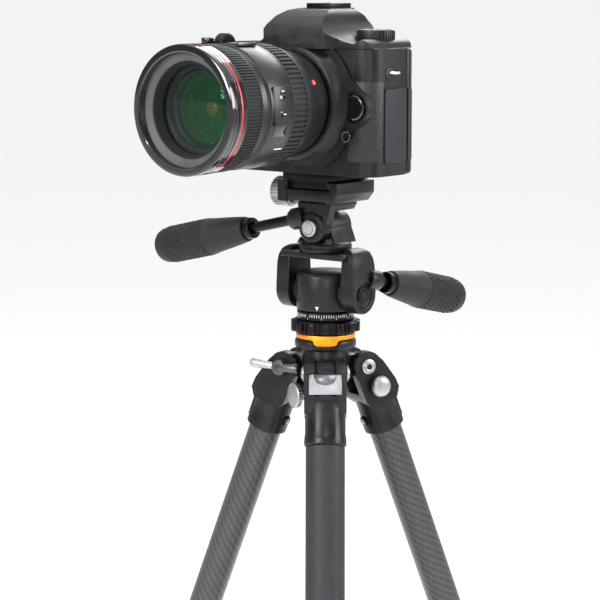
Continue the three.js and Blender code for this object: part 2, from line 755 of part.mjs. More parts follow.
/* Plan outline of the front shell's hand grip, made larger all round by `grow`. */
function gripOutline(grow) {
  const side = -bodyRight + gripSkin - grow;
  const front = -gripFront + gripSkin - grow;
  const inner = -gripInner - gripSkin + grow;
  return [
    [side, bodySplit],
    [side, front + 9],
    ...arc(side + 9, front + 9, 9, 180, 270, 3),
    ...arc(inner - 8, front + 8, 8, 270, 330, 2),
    [inner + 3, -bodyFront - grow],
    [inner + 3, bodySplit],
  ];
}

const bodyPlan = [
  [-gripInner - 8, bodySplit],
  [-gripInner - 8, -bodyFront],
  [bodyLeft - 14, -bodyFront],
  ...arc(bodyLeft - 10, -bodyFront + 12, 10, -70, 0, 3),
  [bodyLeft, bodySplit],
];
const cavityFloor = shellWall + 1;
const cavityTop = bodyHeight - shellWall - 1;
const throat = rod('y', throatRadius, -flangeFront - 1, -10, [0, lensHeight], 32);
const releaseAt = [46.5, lensHeight - 2];
const releaseRadius = 9;
const dialAt = [-22.5, bodyHeight + 0.5];
const mainDialRadius = 8;
const mainDialX = [-75, -67];
const dialSlot = box(mainDialX[0] - gap, mainDialX[1] + gap, dialAt[0] - mainDialRadius - 0.6,
  dialAt[0] + mainDialRadius + 0.6, dialAt[1] - mainDialRadius - 1, bodyHeight + 20);
const bodyShell = prism('xy', bodyPlan, 0, bodyHeight)
  .add(prism('xy', gripOutline(0), 0, bodyHeight))
  .add(rod('y', towerRadius, -flangeFront, -bodyFront + 2, [0, lensHeight], 40))
  .subtract(box(-bodyRight + gripSkin + shellWall, bodyLeft - shellWall, -bodyFront + shellWall + 1,
    bodySplit + 1, cavityFloor, cavityTop))
  .subtract(box(-bodyRight + gripSkin + shellWall, -gripInner - 10, -gripFront + gripSkin + shellWall + 3,
    bodySplit + 1, cavityFloor, cavityTop - 10))
  .subtract(throat)
  .subtract(rod('y', releaseRadius + gap, -bodyFront - 1, -bodyFront + 2.6, releaseAt, 24))
  .subtract(dialSlot);
piece('body_shell', bodyShell, plasticBlack);

const gripTop = bodyHeight - 1.5;
const handGrip = prism('xy', [
  [-bodyRight, 6],
  [-bodyRight, -gripFront + 12],
  ...arc(-bodyRight + 12, -gripFront + 12, 12, 180, 270, 4),
  ...arc(-gripInner - 13, -gripFront + 10, 10, 270, 340, 3),
  [-gripInner, -bodyFront - 1],
  [-gripInner, -bodyFront - gap],
  [-gripInner - 8, -bodyFront - gap],
  [-gripInner - 8, 6],
], 3, gripTop).subtract(prism('xy', gripOutline(gap), 0, bodyHeight + 5));
piece('hand_grip', handGrip, rubberBlack);

const batterySide = -bodyRight + gripSkin + shellWall + 1;
const batteryEnds = [-28, 9];
piece('battery', box(batterySide, batterySide + batteryWidth, ...batteryEnds, cavityFloor + gap,
  cavityFloor + batteryHeight), plasticBlack);

const coverFront = bodySplit + gap;
const rearCover = prism('xy', [
  [-bodyRight + 1, coverFront],
  [bodyLeft, coverFront],
  ...arc(bodyLeft - 5, bodyBack - 5, 5, 0, 90, 3),
  ...arc(-bodyRight + 7, bodyBack - 6, 6, 90, 180, 3),
], 0, bodyHeight);
piece('rear_cover', rearCover, plasticBlack);

const rearDialAt = [-66, 36];
piece('rear_dial', rod('y', rearDialRadius, bodyBack + gap, bodyBack + 2.6, rearDialAt)
  .subtract(rod('y', 6, bodyBack + 1.6, bodyBack + 4, rearDialAt, smallSides)), plasticBlack);

/* Top cover with the viewfinder hump. */
const shoulderTop = bodyHeight + gap + shoulderThickness;
const topPlan = [
  ...arc(-bodyRight + 13, -gripFront + 13, 12, 180, 270, 4),
  ...arc(-gripInner - 13, -gripFront + 11, 10, 270, 340, 3),
  [-gripInner + 1, -bodyFront],
  ...arc(bodyLeft - 14, -bodyFront + 14, 14, -90, 0, 4),
  ...arc(bodyLeft - 6, bodyBack - 6, 6, 0, 90, 3),
  ...arc(-bodyRight + 7, bodyBack - 6, 6, 90, 180, 3),
];
const humpOutline = [
  [-humpHalf, bodyHeight + gap],
  [humpHalf, bodyHeight + gap],
  [humpHalf, shoulderTop + 2],
  [humpHalf - 8, humpHeight - 5],
  [humpHalf - 12, humpHeight],
  [-humpHalf + 12, humpHeight],
  [-humpHalf + 8, humpHeight - 5],
  [-humpHalf, shoulderTop + 2],
];
const humpSide = [
  [-humpFront, bodyHeight + gap],
  [bodyBack, bodyHeight + gap],
  [bodyBack, humpHeight - 4],
  [bodyBack - 4, humpHeight],
  [-humpFront + 12, humpHeight],
  [-humpFront, humpHeight - 9],
];
const hump = prism('xz', humpOutline, -humpFront, bodyBack).intersect(prism('yz', humpSide, -40, 40));
const buttonAt = [-74, -37];
const buttonRadius = 4.5;
const topCover = prism('xy', topPlan, bodyHeight + gap, shoulderTop)
  .add(hump)
  .subtract(box(-14, 14, -bodyFront + 2, bodyBack - 8, bodyHeight, humpHeight - 6))
  .subtract(rod('z', buttonRadius + gap, bodyHeight, shoulderTop + 5, buttonAt, smallSides))
  .subtract(dialSlot);
piece('top_cover', topCover, plasticBlack);

/* Accessory shoe: a rail with a T slot, open to the rear. */
const shoeBottom = humpHeight + gap;
const [slotFloorHeight, railBottom, slotTop, shoeTop] = shoeHeights.map((height) => shoeBottom + height);
const [slotHalf, mouthHalf] = shoeSlotHalves;
const slotRear = shoeEnds[0] + 1.5;
const slotFront = shoeEnds[1] + 1;
const hotShoe = box(-shoeHalf, shoeHalf, ...shoeEnds, shoeBottom, shoeTop)
  .subtract(box(-slotHalf, slotHalf, slotRear, slotFront, slotFloorHeight, slotTop))
  .subtract(box(-mouthHalf, mouthHalf, slotRear, slotFront, railBottom, shoeTop + 1));
piece('hot_shoe', hotShoe, silver);

const modeDialAt = [40.5, 2];
piece('mode_dial', prism('xy', notched(modeDialRadius, 0.5, 16, 0.4), shoulderTop + gap,
  shoulderTop + modeDialHeight).translate([...modeDialAt, 0]), plasticBlack);
piece('main_dial', prism('yz', notched(mainDialRadius, 0.5, 16, 0.4), ...mainDialX)
  .translate([0, ...dialAt]), plasticBlack);
piece('shutter_button', rod('z', buttonRadius, bodyHeight + gap + 1.2, shoulderTop + 1.6, buttonAt, smallSides),
  plasticBlack);
piece('lens_release_button', rod('y', releaseRadius, -bodyFront - 3.6, -bodyFront + 1, releaseAt, 24),
  plasticBlack);
const portCover = roundRect(-14, bodySplit - 1.5, 9, 58, 3);
piece('port_cover', prism('yz', portCover, bodyLeft + gap, bodyLeft + gap + portCoverThickness), rubberBlack);

/* ---------- lens ---------- */

const lensAt = [0, lensHeight];
const front = -lensEnd;
const focusFront = front + rimLength + gap;
const focusRear = focusFront + focusLength;
const windowFront = focusRear + gap;
const windowRear = windowFront + windowLength;
const zoomFront = windowRear + gap;
const zoomRear = zoomFront + zoomLength;

piece('lens_barrel', turned('y', [
  [innerBarrelRadius + gap, focusFront + 2],
  [coreRadius, focusFront + 2],
  [coreRadius, windowFront],
  [barrelRadius, windowFront],
  [barrelRadius, windowRear],
  [coreRadius, windowRear],
  [coreRadius, zoomRear + gap],
  [coreRadius + 1, zoomRear + gap],
  [coreRadius - 1, -lensStart],
  [throatRadius, -lensStart],
  [throatRadius, -lensStart - 4],
  [innerBarrelRadius + gap, -lensStart - 8],
  [innerBarrelRadius + gap, focusFront + 2],
], lensAt, lensSides), plasticBlack);

piece('focus_ring', ring('y', focusRadius, coreRadius + gap, focusFront, focusRear, lensAt, lensSides),
  rubberBlack);
piece('zoom_ring', turned('y', [
  [coreRadius + gap, zoomFront],
  [zoomRadius + 0.4, zoomFront],
  [zoomRadius - 0.8, zoomRear],
  [coreRadius + gap, zoomRear],
  [coreRadius + gap, zoomFront],
], lensAt, lensSides), rubberBlack);

piece('front_barrel', turned('y', [
  [lensRadius - 5, front],
  [lensRadius - 0.8, front],
  [lensRadius, front + 1.2],
  [lensRadius, front + rimLength],
  [innerBarrelRadius, front + rimLength],
  [innerBarrelRadius, front + slidingLength],
  [innerBarrelRadius - lensWall, front + slidingLength],
  [innerBarrelRadius - lensWall, front + glassBack],
  [glassRadius + gap, front + glassBack],
  [glassRadius + gap, front + 12],
  [lensRadius - 5, front + 6],
  [lensRadius - 5, front],
], lensAt, lensSides), plasticBlack);

piece('front_element', turned('y', [
  [0, front + glassBack],
  [glassRadius, front + glassBack],
  [glassRadius, front + 17],
  [glassRadius * 0.75, front + 14],
  [glassRadius * 0.4, front + 12.2],
  [0, front + 11.6],
], lensAt), glass);

/* The finished object stands on the floor, with the origin under the middle of its outline. */
root.updateMatrixWorld(true);
const bounds = new THREE.Box3().setFromObject(root, true);
const middle = bounds.getCenter(new THREE.Vector3());
root.position.set(-middle.x, -middle.y, -bounds.min.z);

export default root;
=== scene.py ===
import json
import math
import bpy
from mathutils import Matrix, Vector

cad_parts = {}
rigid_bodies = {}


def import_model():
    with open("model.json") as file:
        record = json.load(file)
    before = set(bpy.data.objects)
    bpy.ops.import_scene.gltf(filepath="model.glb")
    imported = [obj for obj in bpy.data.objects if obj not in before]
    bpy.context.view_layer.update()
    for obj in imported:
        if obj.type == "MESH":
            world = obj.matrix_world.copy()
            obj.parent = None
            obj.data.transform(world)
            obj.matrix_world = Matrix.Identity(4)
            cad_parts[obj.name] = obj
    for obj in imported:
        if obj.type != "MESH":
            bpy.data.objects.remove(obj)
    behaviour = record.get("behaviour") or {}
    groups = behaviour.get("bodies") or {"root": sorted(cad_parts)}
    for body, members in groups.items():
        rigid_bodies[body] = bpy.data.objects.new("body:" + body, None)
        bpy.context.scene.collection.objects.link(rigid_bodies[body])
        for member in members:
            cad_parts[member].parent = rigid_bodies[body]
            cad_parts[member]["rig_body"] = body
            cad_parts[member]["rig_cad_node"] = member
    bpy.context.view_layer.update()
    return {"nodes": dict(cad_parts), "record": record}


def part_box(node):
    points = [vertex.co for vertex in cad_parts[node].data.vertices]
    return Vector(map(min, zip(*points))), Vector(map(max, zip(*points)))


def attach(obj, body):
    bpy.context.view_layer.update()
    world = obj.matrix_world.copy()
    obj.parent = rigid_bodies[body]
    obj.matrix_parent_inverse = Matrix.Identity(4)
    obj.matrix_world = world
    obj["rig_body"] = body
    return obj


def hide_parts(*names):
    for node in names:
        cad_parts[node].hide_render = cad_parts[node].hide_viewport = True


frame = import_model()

MM = 0.001

# ---------------------------------------------------------------- places

# The work frame: millimetres from the tripod's axis, with z = 0 on the underside of the camera.
column_low, column_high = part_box("center_column")
shell_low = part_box("body_shell")[0]
origin = Vector(((column_low[0] + column_high[0]) / 2, (column_low[1] + column_high[1]) / 2, shell_low[2]))
upright = Matrix.Translation(origin)

lens_height = 48
clamp_screw_height = -16
roll_height = -38
tilt_height = -83

front_leg_azimuth = 38      # degrees from -Y towards +X
leg_spread = 21             # degrees from the column
hinge_radius = 26
hinge_drop = 136
tube_offset = 4             # from the hinge pin outwards to the tube's axis
upper_radius = 11.5
middle_radius = 9.75
lower_radius = 8
tube_wall = 1.3


def work(x, y, z):
    """A point of the work frame, in the frame's metres."""
    return origin + Vector((x, y, z)) * MM


def planar(plane, shift=(0, 0, 0)):
    """Turns a drawing made flat on XY with its thickness along Z into the named plane."""
    columns = {
        "xy": ((1, 0, 0), (0, 1, 0), (0, 0, 1)),
        "yz": ((0, 1, 0), (0, 0, 1), (1, 0, 0)),
        "xz": ((1, 0, 0), (0, 0, 1), (0, -1, 0)),
    }[plane]
    turn = Matrix(columns).transposed().to_4x4()
    return Matrix.Translation(work(*shift)) @ turn


def along(direction, place):
    """Turns a drawing made round Z so that it points in a direction, from a place in the work frame."""
    turn = Vector((0, 0, 1)).rotation_difference(Vector(direction)).to_matrix().to_4x4()
    return Matrix.Translation(work(*place)) @ turn


def leg_frame(number):
    """A leg's own frame: hinge pin at the origin along Y, the leg down along -Z, outwards is +X."""
    azimuth = math.radians(front_leg_azimuth - 90 + 120 * (number - 1))
    around = Matrix.Rotation(azimuth, 4, "Z")
    hinge = Matrix.Translation(Vector((hinge_radius, 0, -hinge_drop)) * MM)
    spread = Matrix.Rotation(math.radians(-leg_spread), 4, "Y")
    return upright @ around @ hinge @ spread


# ---------------------------------------------------------------- materials

def colour(code):
    """Linear colour of an sRGB hex code."""
    parts = [int(code[i:i + 2], 16) / 255 for i in (1, 3, 5)]
    return tuple(c / 12.92 if c <= 0.04045 else ((c + 0.055) / 1.055) ** 2.4 for c in parts) + (1.0,)


def add(material, kind, inputs=None, **settings):
    """Adds a node with its settings; an input is a number, a colour or the output that feeds it."""
    made = material.node_tree.nodes.new(kind)
    for name, value in settings.items():
        setattr(made, name, value)
    for name, value in (inputs or {}).items():
        if isinstance(value, bpy.types.NodeSocket):
            material.node_tree.links.new(value, made.inputs[name])
        else:
            made.inputs[name].default_value = value
    return made


def surface(name, code, roughness, metallic=0.0, **sockets):
    """A material with one shader; further sockets are given by name with _ for a space."""
    material = bpy.data.materials.new(name)
    material.use_nodes = True
    material.node_tree.nodes.clear()
    inputs = {"Base Color": colour(code), "Roughness": roughness, "Metallic": metallic}
    inputs.update({key.replace("_", " "): value for key, value in sockets.items()})
    shader = add(material, "ShaderNodeBsdfPrincipled", inputs)
    add(material, "ShaderNodeOutputMaterial", {"Surface": shader.outputs["BSDF"]})
    return material, shader


def feed(material, shader, socket, output):
    material.node_tree.links.new(output, shader.inputs[socket])


def grained(material, shader, code_low, code_high, grain_mm, depth_mm, rough_low, rough_high):
    """Fine moulded or sprayed grain: two tones, uneven gloss and a bump, from one noise."""
    place = add(material, "ShaderNodeTexCoord").outputs["Object"]
    grain = add(material, "ShaderNodeTexNoise", {"Vector": place, "Scale": 1 / (grain_mm * MM),
                                                 "Detail": 3.0, "Roughness": 0.6})
    patches = add(material, "ShaderNodeTexNoise", {"Vector": place, "Scale": 90.0, "Detail": 2.0})
    blend = add(material, "ShaderNodeMath", {0: grain.outputs[0], 1: patches.outputs[0], 2: 0.12},
                operation="MULTIPLY_ADD")
    tones = add(material, "ShaderNodeValToRGB", {"Fac": blend.outputs[0]})
    tones.color_ramp.elements[0].position = 0.22
    tones.color_ramp.elements[1].position = 0.55
    tones.color_ramp.elements[0].color = colour(code_low)
    tones.color_ramp.elements[1].color = colour(code_high)
    gloss = add(material, "ShaderNodeMapRange",
                {"Value": patches.outputs[0], "From Min": 0.3, "From Max": 0.7, "To Min": rough_low,
                 "To Max": rough_high})
    bump = add(material, "ShaderNodeBump", {"Height": grain.outputs[0], "Distance": depth_mm * MM,
                                            "Strength": 0.6})
    feed(material, shader, "Base Color", tones.outputs["Color"])
    feed(material, shader, "Roughness", gloss.outputs["Result"])
    feed(material, shader, "Normal", bump.outputs["Normal"])
    return material


def powder_coat():
    """Black powder coat on die-cast aluminium: a fine sandy sparkle and soft highlights."""
    material, shader = surface("powder_coated_casting", "#131415", 0.38, Specular_IOR_Level=0.24)
    return grained(material, shader, "#0b0c0d", "#18191b", 0.45, 0.06, 0.30, 0.42)


def polycarbonate():
    """Moulded polycarbonate body: satin, nearly black, with a crinkle grain of half a millimetre."""
    material, shader = surface("moulded_polycarbonate", "#111213", 0.42, Specular_IOR_Level=0.25)
    return grained(material, shader, "#0b0c0d", "#18191b", 0.5, 0.05, 0.33, 0.46)


def leatherette():
    """Glued leatherette: rounded pebbles about a millimetre across, their tops painted lighter and the
    valleys between them painted dark as shade.
    """
    material, shader = surface("pebbled_leatherette", "#121314", 0.5, Specular_IOR_Level=0.35)
    place = add(material, "ShaderNodeTexCoord").outputs["Object"]
    pebbles = add(material, "ShaderNodeTexVoronoi", {"Vector": place, "Scale": 1 / (1.1 * MM)},
                  feature="SMOOTH_F1")
    # Painted light: the tone follows the pebbles' height, lighter on their tops as painted sheen and dark in
    # the valleys as painted shade.
    tones = add(material, "ShaderNodeValToRGB", {"Fac": pebbles.outputs["Distance"]})
    tones.color_ramp.elements[0].position = 0.1
    tones.color_ramp.elements[1].position = 0.62
    tones.color_ramp.elements[0].color = colour("#232528")
    tones.color_ramp.elements[1].color = colour("#08090a")
    bump = add(material, "ShaderNodeBump", {"Height": pebbles.outputs["Distance"], "Distance": 0.25 * MM,
                                            "Strength": 0.9}, invert=True)
    feed(material, shader, "Base Color", tones.outputs["Color"])
    feed(material, shader, "Normal", bump.outputs["Normal"])
    return material


def rubber(name, low, high, roughness):
    """Moulded rubber: dull, with a faint bloom in patches."""
    material, shader = surface(name, high, roughness, Specular_IOR_Level=0.25)
    return grained(material, shader, low, high, 0.6, 0.04, roughness - 0.06, roughness + 0.05)


def satin_barrel():
    """Painted lens barrel: smooth satin black with a soft streak along it."""
    material, shader = surface("satin_barrel_paint", "#151617", 0.34, Specular_IOR_Level=0.35)
    return grained(material, shader, "#111213", "#191a1c", 0.8, 0.01, 0.30, 0.38)


def carbon_twill(number):
    """Carbon tube: a two-by-two twill of 1.5 mm tows under lacquer, drawn coarser than the real weave
    so that it shows; tows along the tube are painted lighter than those across it and each tow lighter along
    its middle, as painted sheen of the light they catch."""
    material, shader = surface(f"carbon_twill_{number}", "#26282a", 0.4, Coat_Weight=0.3,
                               Coat_Roughness=0.2, Specular_IOR_Level=0.35)
    place = add(material, "ShaderNodeTexCoord").outputs["Object"]
    inverse = leg_frame(number).inverted()
    local = add(material, "ShaderNodeMapping", {"Vector": place}, vector_type="POINT")
    local.inputs["Location"].default_value = inverse.to_translation() - Vector((tube_offset * MM, 0, 0))
    local.inputs["Rotation"].default_value = inverse.to_euler("XYZ")
    split = add(material, "ShaderNodeSeparateXYZ", {"Vector": local.outputs["Vector"]})

    def sums(operation, first, second=0.0):
        return add(material, "ShaderNodeMath", {0: first, 1: second}, operation=operation).outputs[0]

    tow = 1.5 * MM
    around = round(2 * math.pi * upper_radius * MM / tow / 4) * 4
    angle = sums("ARCTAN2", split.outputs["Y"], split.outputs["X"])
    across = sums("MULTIPLY", angle, around / (2 * math.pi))
    down = sums("MULTIPLY", split.outputs["Z"], 1 / tow)
    across_cell = sums("FLOOR", across)
    down_cell = sums("FLOOR", down)
    step = sums("FLOORED_MODULO", sums("ADD", across_cell, down_cell), 4.0)
    over = sums("LESS_THAN", step, 1.5)
    # Painted sheen: each tow lighter along its middle, and tows across the tube at 0.45 of the lightness of
    # those along it.
    thread = sums("SINE", sums("MULTIPLY", sums("FRACT", across), math.pi))
    thread_two = sums("SINE", sums("MULTIPLY", sums("FRACT", down), math.pi))
    first = sums("MULTIPLY", over, thread)
    second = sums("MULTIPLY", sums("SUBTRACT", 1.0, over), thread_two)
    light = sums("ADD", first, sums("MULTIPLY", second, 0.45))
    tones = add(material, "ShaderNodeValToRGB", {"Fac": light})
    tones.color_ramp.elements[0].color = colour("#0f1011")
    tones.color_ramp.elements[1].color = colour("#3f4245")
    bump = add(material, "ShaderNodeBump", {"Height": light, "Distance": 0.08 * MM, "Strength": 0.5})
    feed(material, shader, "Base Color", tones.outputs["Color"])
    feed(material, shader, "Normal", bump.outputs["Normal"])
    return material


def blasted_metal(name, code, roughness, grain_mm=0.3):
    """Bead-blasted and anodised aluminium: metal with a fine even grain in its gloss."""
    material, shader = surface(name, code, roughness, 1.0)
    place = add(material, "ShaderNodeTexCoord").outputs["Object"]
    grain = add(material, "ShaderNodeTexNoise",
                {"Vector": place, "Scale": 1 / (grain_mm * MM), "Detail": 2.0})
    gloss = add(material, "ShaderNodeMapRange",
                {"Value": grain.outputs[0], "From Min": 0.3, "From Max": 0.7, "To Min": roughness - 0.06,
                 "To Max": roughness + 0.08})
    bump = add(material, "ShaderNodeBump",
               {"Height": grain.outputs[0], "Distance": 0.01 * MM, "Strength": 0.5})
    feed(material, shader, "Roughness", gloss.outputs["Result"])
    feed(material, shader, "Normal", bump.outputs["Normal"])
    return material


casting = powder_coat()
plastic = polycarbonate()
leather = leatherette()
soft_rubber = rubber("moulded_rubber", "#101112", "#1c1e20", 0.6)
sleeve_rubber = rubber("sleeve_rubber", "#202224", "#2a2c2f", 0.58)
door_rubber = rubber("door_rubber", "#17191c", "#21252a", 0.55)
barrel_paint = satin_barrel()
carbon = {number: carbon_twill(number) for number in (1, 2, 3)}
silver = blasted_metal("satin_anodised_aluminium", "#9d9fa2", 0.42)
lever_metal = blasted_metal("grey_anodised_aluminium", "#56575a", 0.38)
black_metal = blasted_metal("black_anodised_aluminium", "#232324", 0.36)
orange = blasted_metal("orange_anodised_aluminium", "#ea9426", 0.5)
chrome = surface("polished_chrome", "#dfe0e2", 0.1, 1.0)[0]
gloss_black = surface("gloss_black_enamel", "#0b0b0c", 0.12, Coat_Weight=0.4, Coat_Roughness=0.05)[0]
# Flat black: the real flocking of the lens baffle and the black of the grub screws and dark gaps, and also
# painted shade in the hexagonal sockets and the notches of the leg castings.
dead_black_and_painted_shade = surface("flocked_black_and_painted_shade", "#060606", 0.9)[0]
red_paint = surface("red_enamel", "#d8232f", 0.25)[0]
white_paint = surface("white_marking_paint", "#e8e8e6", 0.5)[0]
grey_paint = surface("grey_marking_paint", "#8c8e90", 0.5)[0]
front_glass = surface("coated_front_glass", "#0f1c15", 0.02, Alpha=0.24)[0]
coated_glass = surface("green_coated_glass", "#1c6a3c", 0.05, 0.6, Alpha=0.38)[0]
deep_green_glass = surface("deep_green_glass", "#2a8a4c", 0.1, 0.7)[0]
# Amber: a painted glint of the coatings, given as the colour of a small dome deep in the lens.
amber_glint_glass = surface("painted_amber_glint", "#d8a838", 0.2, 0.4)[0]
screen_glass = surface("screen_glass", "#0a0c0e", 0.06, Coat_Weight=0.6, Coat_Roughness=0.03)[0]


# ---------------------------------------------------------------- shaping

def clear():
    if bpy.context.mode != "OBJECT":
        bpy.ops.object.mode_set(mode="OBJECT")
    bpy.ops.object.select_all(action="DESELECT")


def edit():
    bpy.ops.object.mode_set(mode="EDIT")
    bpy.ops.mesh.select_all(action="SELECT")


def only(piece):
    """Selects one piece and nothing else."""
    clear()
    piece.select_set(True)
    bpy.context.view_layer.objects.active = piece


def settle(piece, matrix):
    """Puts a piece in its place and leaves that place in its mesh."""
    only(piece)
    piece.matrix_world = matrix @ piece.matrix_world
    bpy.ops.object.transform_apply(location=True, rotation=True, scale=True)
    return piece


def outward(piece):
    """Merges doubled points and turns every face outwards."""
    only(piece)
    edit()
    bpy.ops.mesh.remove_doubles(threshold=0.004 * MM)
    bpy.ops.mesh.select_all(action="SELECT")
    bpy.ops.mesh.normals_make_consistent(inside=False)
    bpy.ops.object.mode_set(mode="OBJECT")
    return piece


def soften(piece, width=0.4, segments=2, angle=35):
    """Breaks the sharp edges of a piece, width in millimetres, and shades it smooth between them."""
    only(piece)
    if width:
        bevel = piece.modifiers.new("edges", "BEVEL")
        bevel.width = width * MM
        bevel.segments = segments
        bevel.limit_method = "ANGLE"
        bevel.angle_limit = math.radians(angle)
        bevel.use_clamp_overlap = True
        bpy.ops.object.modifier_apply(modifier="edges")
    bpy.ops.object.shade_smooth_by_angle(angle=math.radians(angle))
    return piece


def turned(name, stations, matrix, sides=64, bevel=0.25, segments=2):
    """A circle extruded from station to station, each (radius, height) in millimetres.
    The outline closes on itself if it ends where it starts; otherwise its ends are filled."""
    clear()
    tiny = 0.02
    stations = [(max(radius, tiny), height) for radius, height in stations]
    loop = stations[0] == stations[-1]
    radius, height = stations[0]
    bpy.ops.mesh.primitive_circle_add(vertices=sides, radius=radius * MM, location=(0, 0, height * MM),
                                      fill_type="NOTHING" if loop else "NGON")
    piece = bpy.context.object
    edit()
    for next_radius, next_height in stations[1:]:
        step = (0, 0, (next_height - height) * MM)
        bpy.ops.mesh.extrude_edges_move(TRANSFORM_OT_translate={"value": step})
        ratio = next_radius / radius
        bpy.ops.transform.resize(value=(ratio, ratio, 1), center_override=(0, 0, next_height * MM))
        radius, height = next_radius, next_height
    if not loop:
        bpy.ops.mesh.edge_face_add()
    bpy.ops.object.mode_set(mode="OBJECT")
    piece.name = piece.data.name = name
    outward(piece)
    settle(piece, matrix)
    return soften(piece, bevel, segments, 30)


def outline(name, points, low, high, matrix, bevel=0.5, segments=2, angle=35):
    """A flat outline drawn point by point, then extruded from one height to another, in millimetres."""
    clear()
    bpy.ops.mesh.primitive_plane_add(size=MM)
    piece = bpy.context.object
    edit()
    bpy.ops.mesh.merge(type="CENTER")
    here = Vector((points[0][0], points[0][1], low)) * MM
    bpy.ops.transform.translate(value=here)
    for u, v in points[1:]:
        there = Vector((u, v, low)) * MM
        bpy.ops.mesh.extrude_vertices_move(TRANSFORM_OT_translate={"value": there - here})
        here = there
    bpy.ops.mesh.select_all(action="SELECT")
    bpy.ops.mesh.edge_face_add()
    bpy.ops.mesh.extrude_region_move(TRANSFORM_OT_translate={"value": (0, 0, (high - low) * MM)})
    bpy.ops.object.mode_set(mode="OBJECT")
    piece.name = piece.data.name = name
    outward(piece)
    settle(piece, matrix)
    return soften(piece, bevel, segments, angle)


def block(name, low, high, matrix, bevel=0.5, segments=2):
    """A cube stretched between two corners, in millimetres, with its edges broken."""
    clear()
    size = Vector(high) - Vector(low)
    middle = (Vector(high) + Vector(low)) / 2
    bpy.ops.mesh.primitive_cube_add(size=1)
    piece = bpy.context.object
    edit()
    bpy.ops.transform.resize(value=size * MM)
    bpy.ops.transform.translate(value=middle * MM)
    bpy.ops.object.mode_set(mode="OBJECT")
    piece.name = piece.data.name = name
    settle(piece, matrix)
    return soften(piece, bevel, segments)


def join(name, pieces):
    """Makes several shapes one piece."""
    clear()
    for piece in pieces:
        piece.select_set(True)
    bpy.context.view_layer.objects.active = pieces[0]
    bpy.ops.object.join()
    pieces[0].name = pieces[0].data.name = name
    return pieces[0]


def ring_of(name, first, count, matrix, start=0, total=360):
    """Copies of one modelled piece round the Z axis of a place, joined; a full turn by default."""
    inverse = matrix.inverted()
    copies = []
    for number in range(count):
        turn = matrix @ Matrix.Rotation(math.radians(start + total * number / count), 4, "Z") @ inverse
        copy = first.copy()
        copy.data = first.data.copy()
        copy.data.transform(turn)
        bpy.context.scene.collection.objects.link(copy)
        copies.append(copy)
    bpy.data.objects.remove(first)
    return join(name, copies)


def cut(piece, tool, operation="DIFFERENCE"):
    """Cuts a piece with a tool, which is used up; the operation may also unite or keep what they share."""
    only(piece)
    carve = piece.modifiers.new("carve", "BOOLEAN")
    carve.object = tool
    carve.operation = operation
    carve.solver = "EXACT"
    bpy.ops.object.modifier_apply(modifier="carve")
    bpy.data.objects.remove(tool)
    return piece


def arc(u, v, radius, start, end, steps):
    """Points of an arc, angles in degrees, both ends included."""
    angles = [math.radians(start + (end - start) * i / steps) for i in range(steps + 1)]
    return [(u + radius * math.cos(a), v + radius * math.sin(a)) for a in angles]


def round_rect(u0, u1, v0, v1, radius, steps=4):
    return (arc(u1 - radius, v0 + radius, radius, -90, 0, steps)
            + arc(u1 - radius, v1 - radius, radius, 0, 90, steps)
            + arc(u0 + radius, v1 - radius, radius, 90, 180, steps)
            + arc(u0 + radius, v0 + radius, radius, 180, 270, steps))


def give(piece, material, body, *nodes):
    """Gives a finished piece its material, its body and the CAD nodes that it stands for."""
    piece.data.materials.clear()
    piece.data.materials.append(material)
    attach(piece, body)
    if nodes:
        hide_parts(*nodes)
    return piece


body_of_node = {node: body for body,
                nodes in frame["record"]["behaviour"]["bodies"].items() for node in nodes}


def refined(node, material, bevel=0.5, segments=2, angle=32, name=None):
    """A copy of a CAD node with its doubles merged, its flats cleaned and its edges broken."""
    source = frame["nodes"][node]
    piece = source.copy()
    piece.data = source.data.copy()
    piece.parent = None
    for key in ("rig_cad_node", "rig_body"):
        if key in piece:
            del piece[key]
    bpy.context.scene.collection.objects.link(piece)
    piece.name = piece.data.name = name or f"{node}_finished"
    only(piece)
    edit()
    bpy.ops.mesh.remove_doubles(threshold=0.01 * MM)
    bpy.ops.mesh.select_all(action="SELECT")
    bpy.ops.mesh.dissolve_limited(angle_limit=math.radians(2))
    bpy.ops.object.mode_set(mode="OBJECT")
    soften(piece, bevel, segments, angle)
    return give(piece, material, body_of_node[node], node)


# ---------------------------------------------------------------- lens

def span(node):
    """How far in front of the lens mount's zero a node begins and ends, in millimetres."""
    low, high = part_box(node)
    return (origin[1] - high[1]) / MM, (origin[1] - low[1]) / MM


# Drawn round the lens axis: +Z forwards, +Y up, +X towards the ports' side.
lens = along((0, -1, 0), (0, 0, lens_height))
rear_of_rim, lens_front = span("focus_ring")[1] + 0.3, span("front_barrel")[1]
focus_rear, focus_front = span("focus_ring")
zoom_rear, zoom_front = span("zoom_ring")
sleeve_core = 36.3
barrel_radius = 40.6
rim_radius = 41.75


def ribbed_ring(name, rear, front, radius, core, count, rib_width, rib_depth, body, node):
    """A rubber ring: a sleeve with a plain lip at each end, and straight ribs between the lips."""
    lip = 1.2
    sleeve = turned(name + "_sleeve", [(core, rear), (radius - 0.2, rear), (radius, rear + 0.4),
                                       (radius, rear + lip), (radius - rib_depth, rear + lip + 0.3),
                                       (radius - rib_depth, front - lip - 0.3), (radius, front - lip),
                                       (radius, front - 0.4), (radius - 0.2, front), (core, front),
                                       (core, rear)], lens, 96, 0)
    rib = block(name + "_rib", (radius - rib_depth - 0.2, -rib_width / 2, rear + lip),
                (radius, rib_width / 2, front - lip), lens, 0.22, 2)
    ring = join(name, [sleeve, ring_of(name + "_ribs", rib, count, lens)])
    soften(ring, 0, 1, 40)
    return give(ring, soft_rubber, body, node)


ribbed_ring("zoom_grip_ring", zoom_rear, zoom_front, 40.4, sleeve_core, 72, 2.1, 0.9, "zoom_ring",
            "zoom_ring")
ribbed_ring("focus_grip_ring", focus_rear, focus_front, 41, sleeve_core, 120, 1.15, 0.7, "focus_ring",
            "focus_ring")

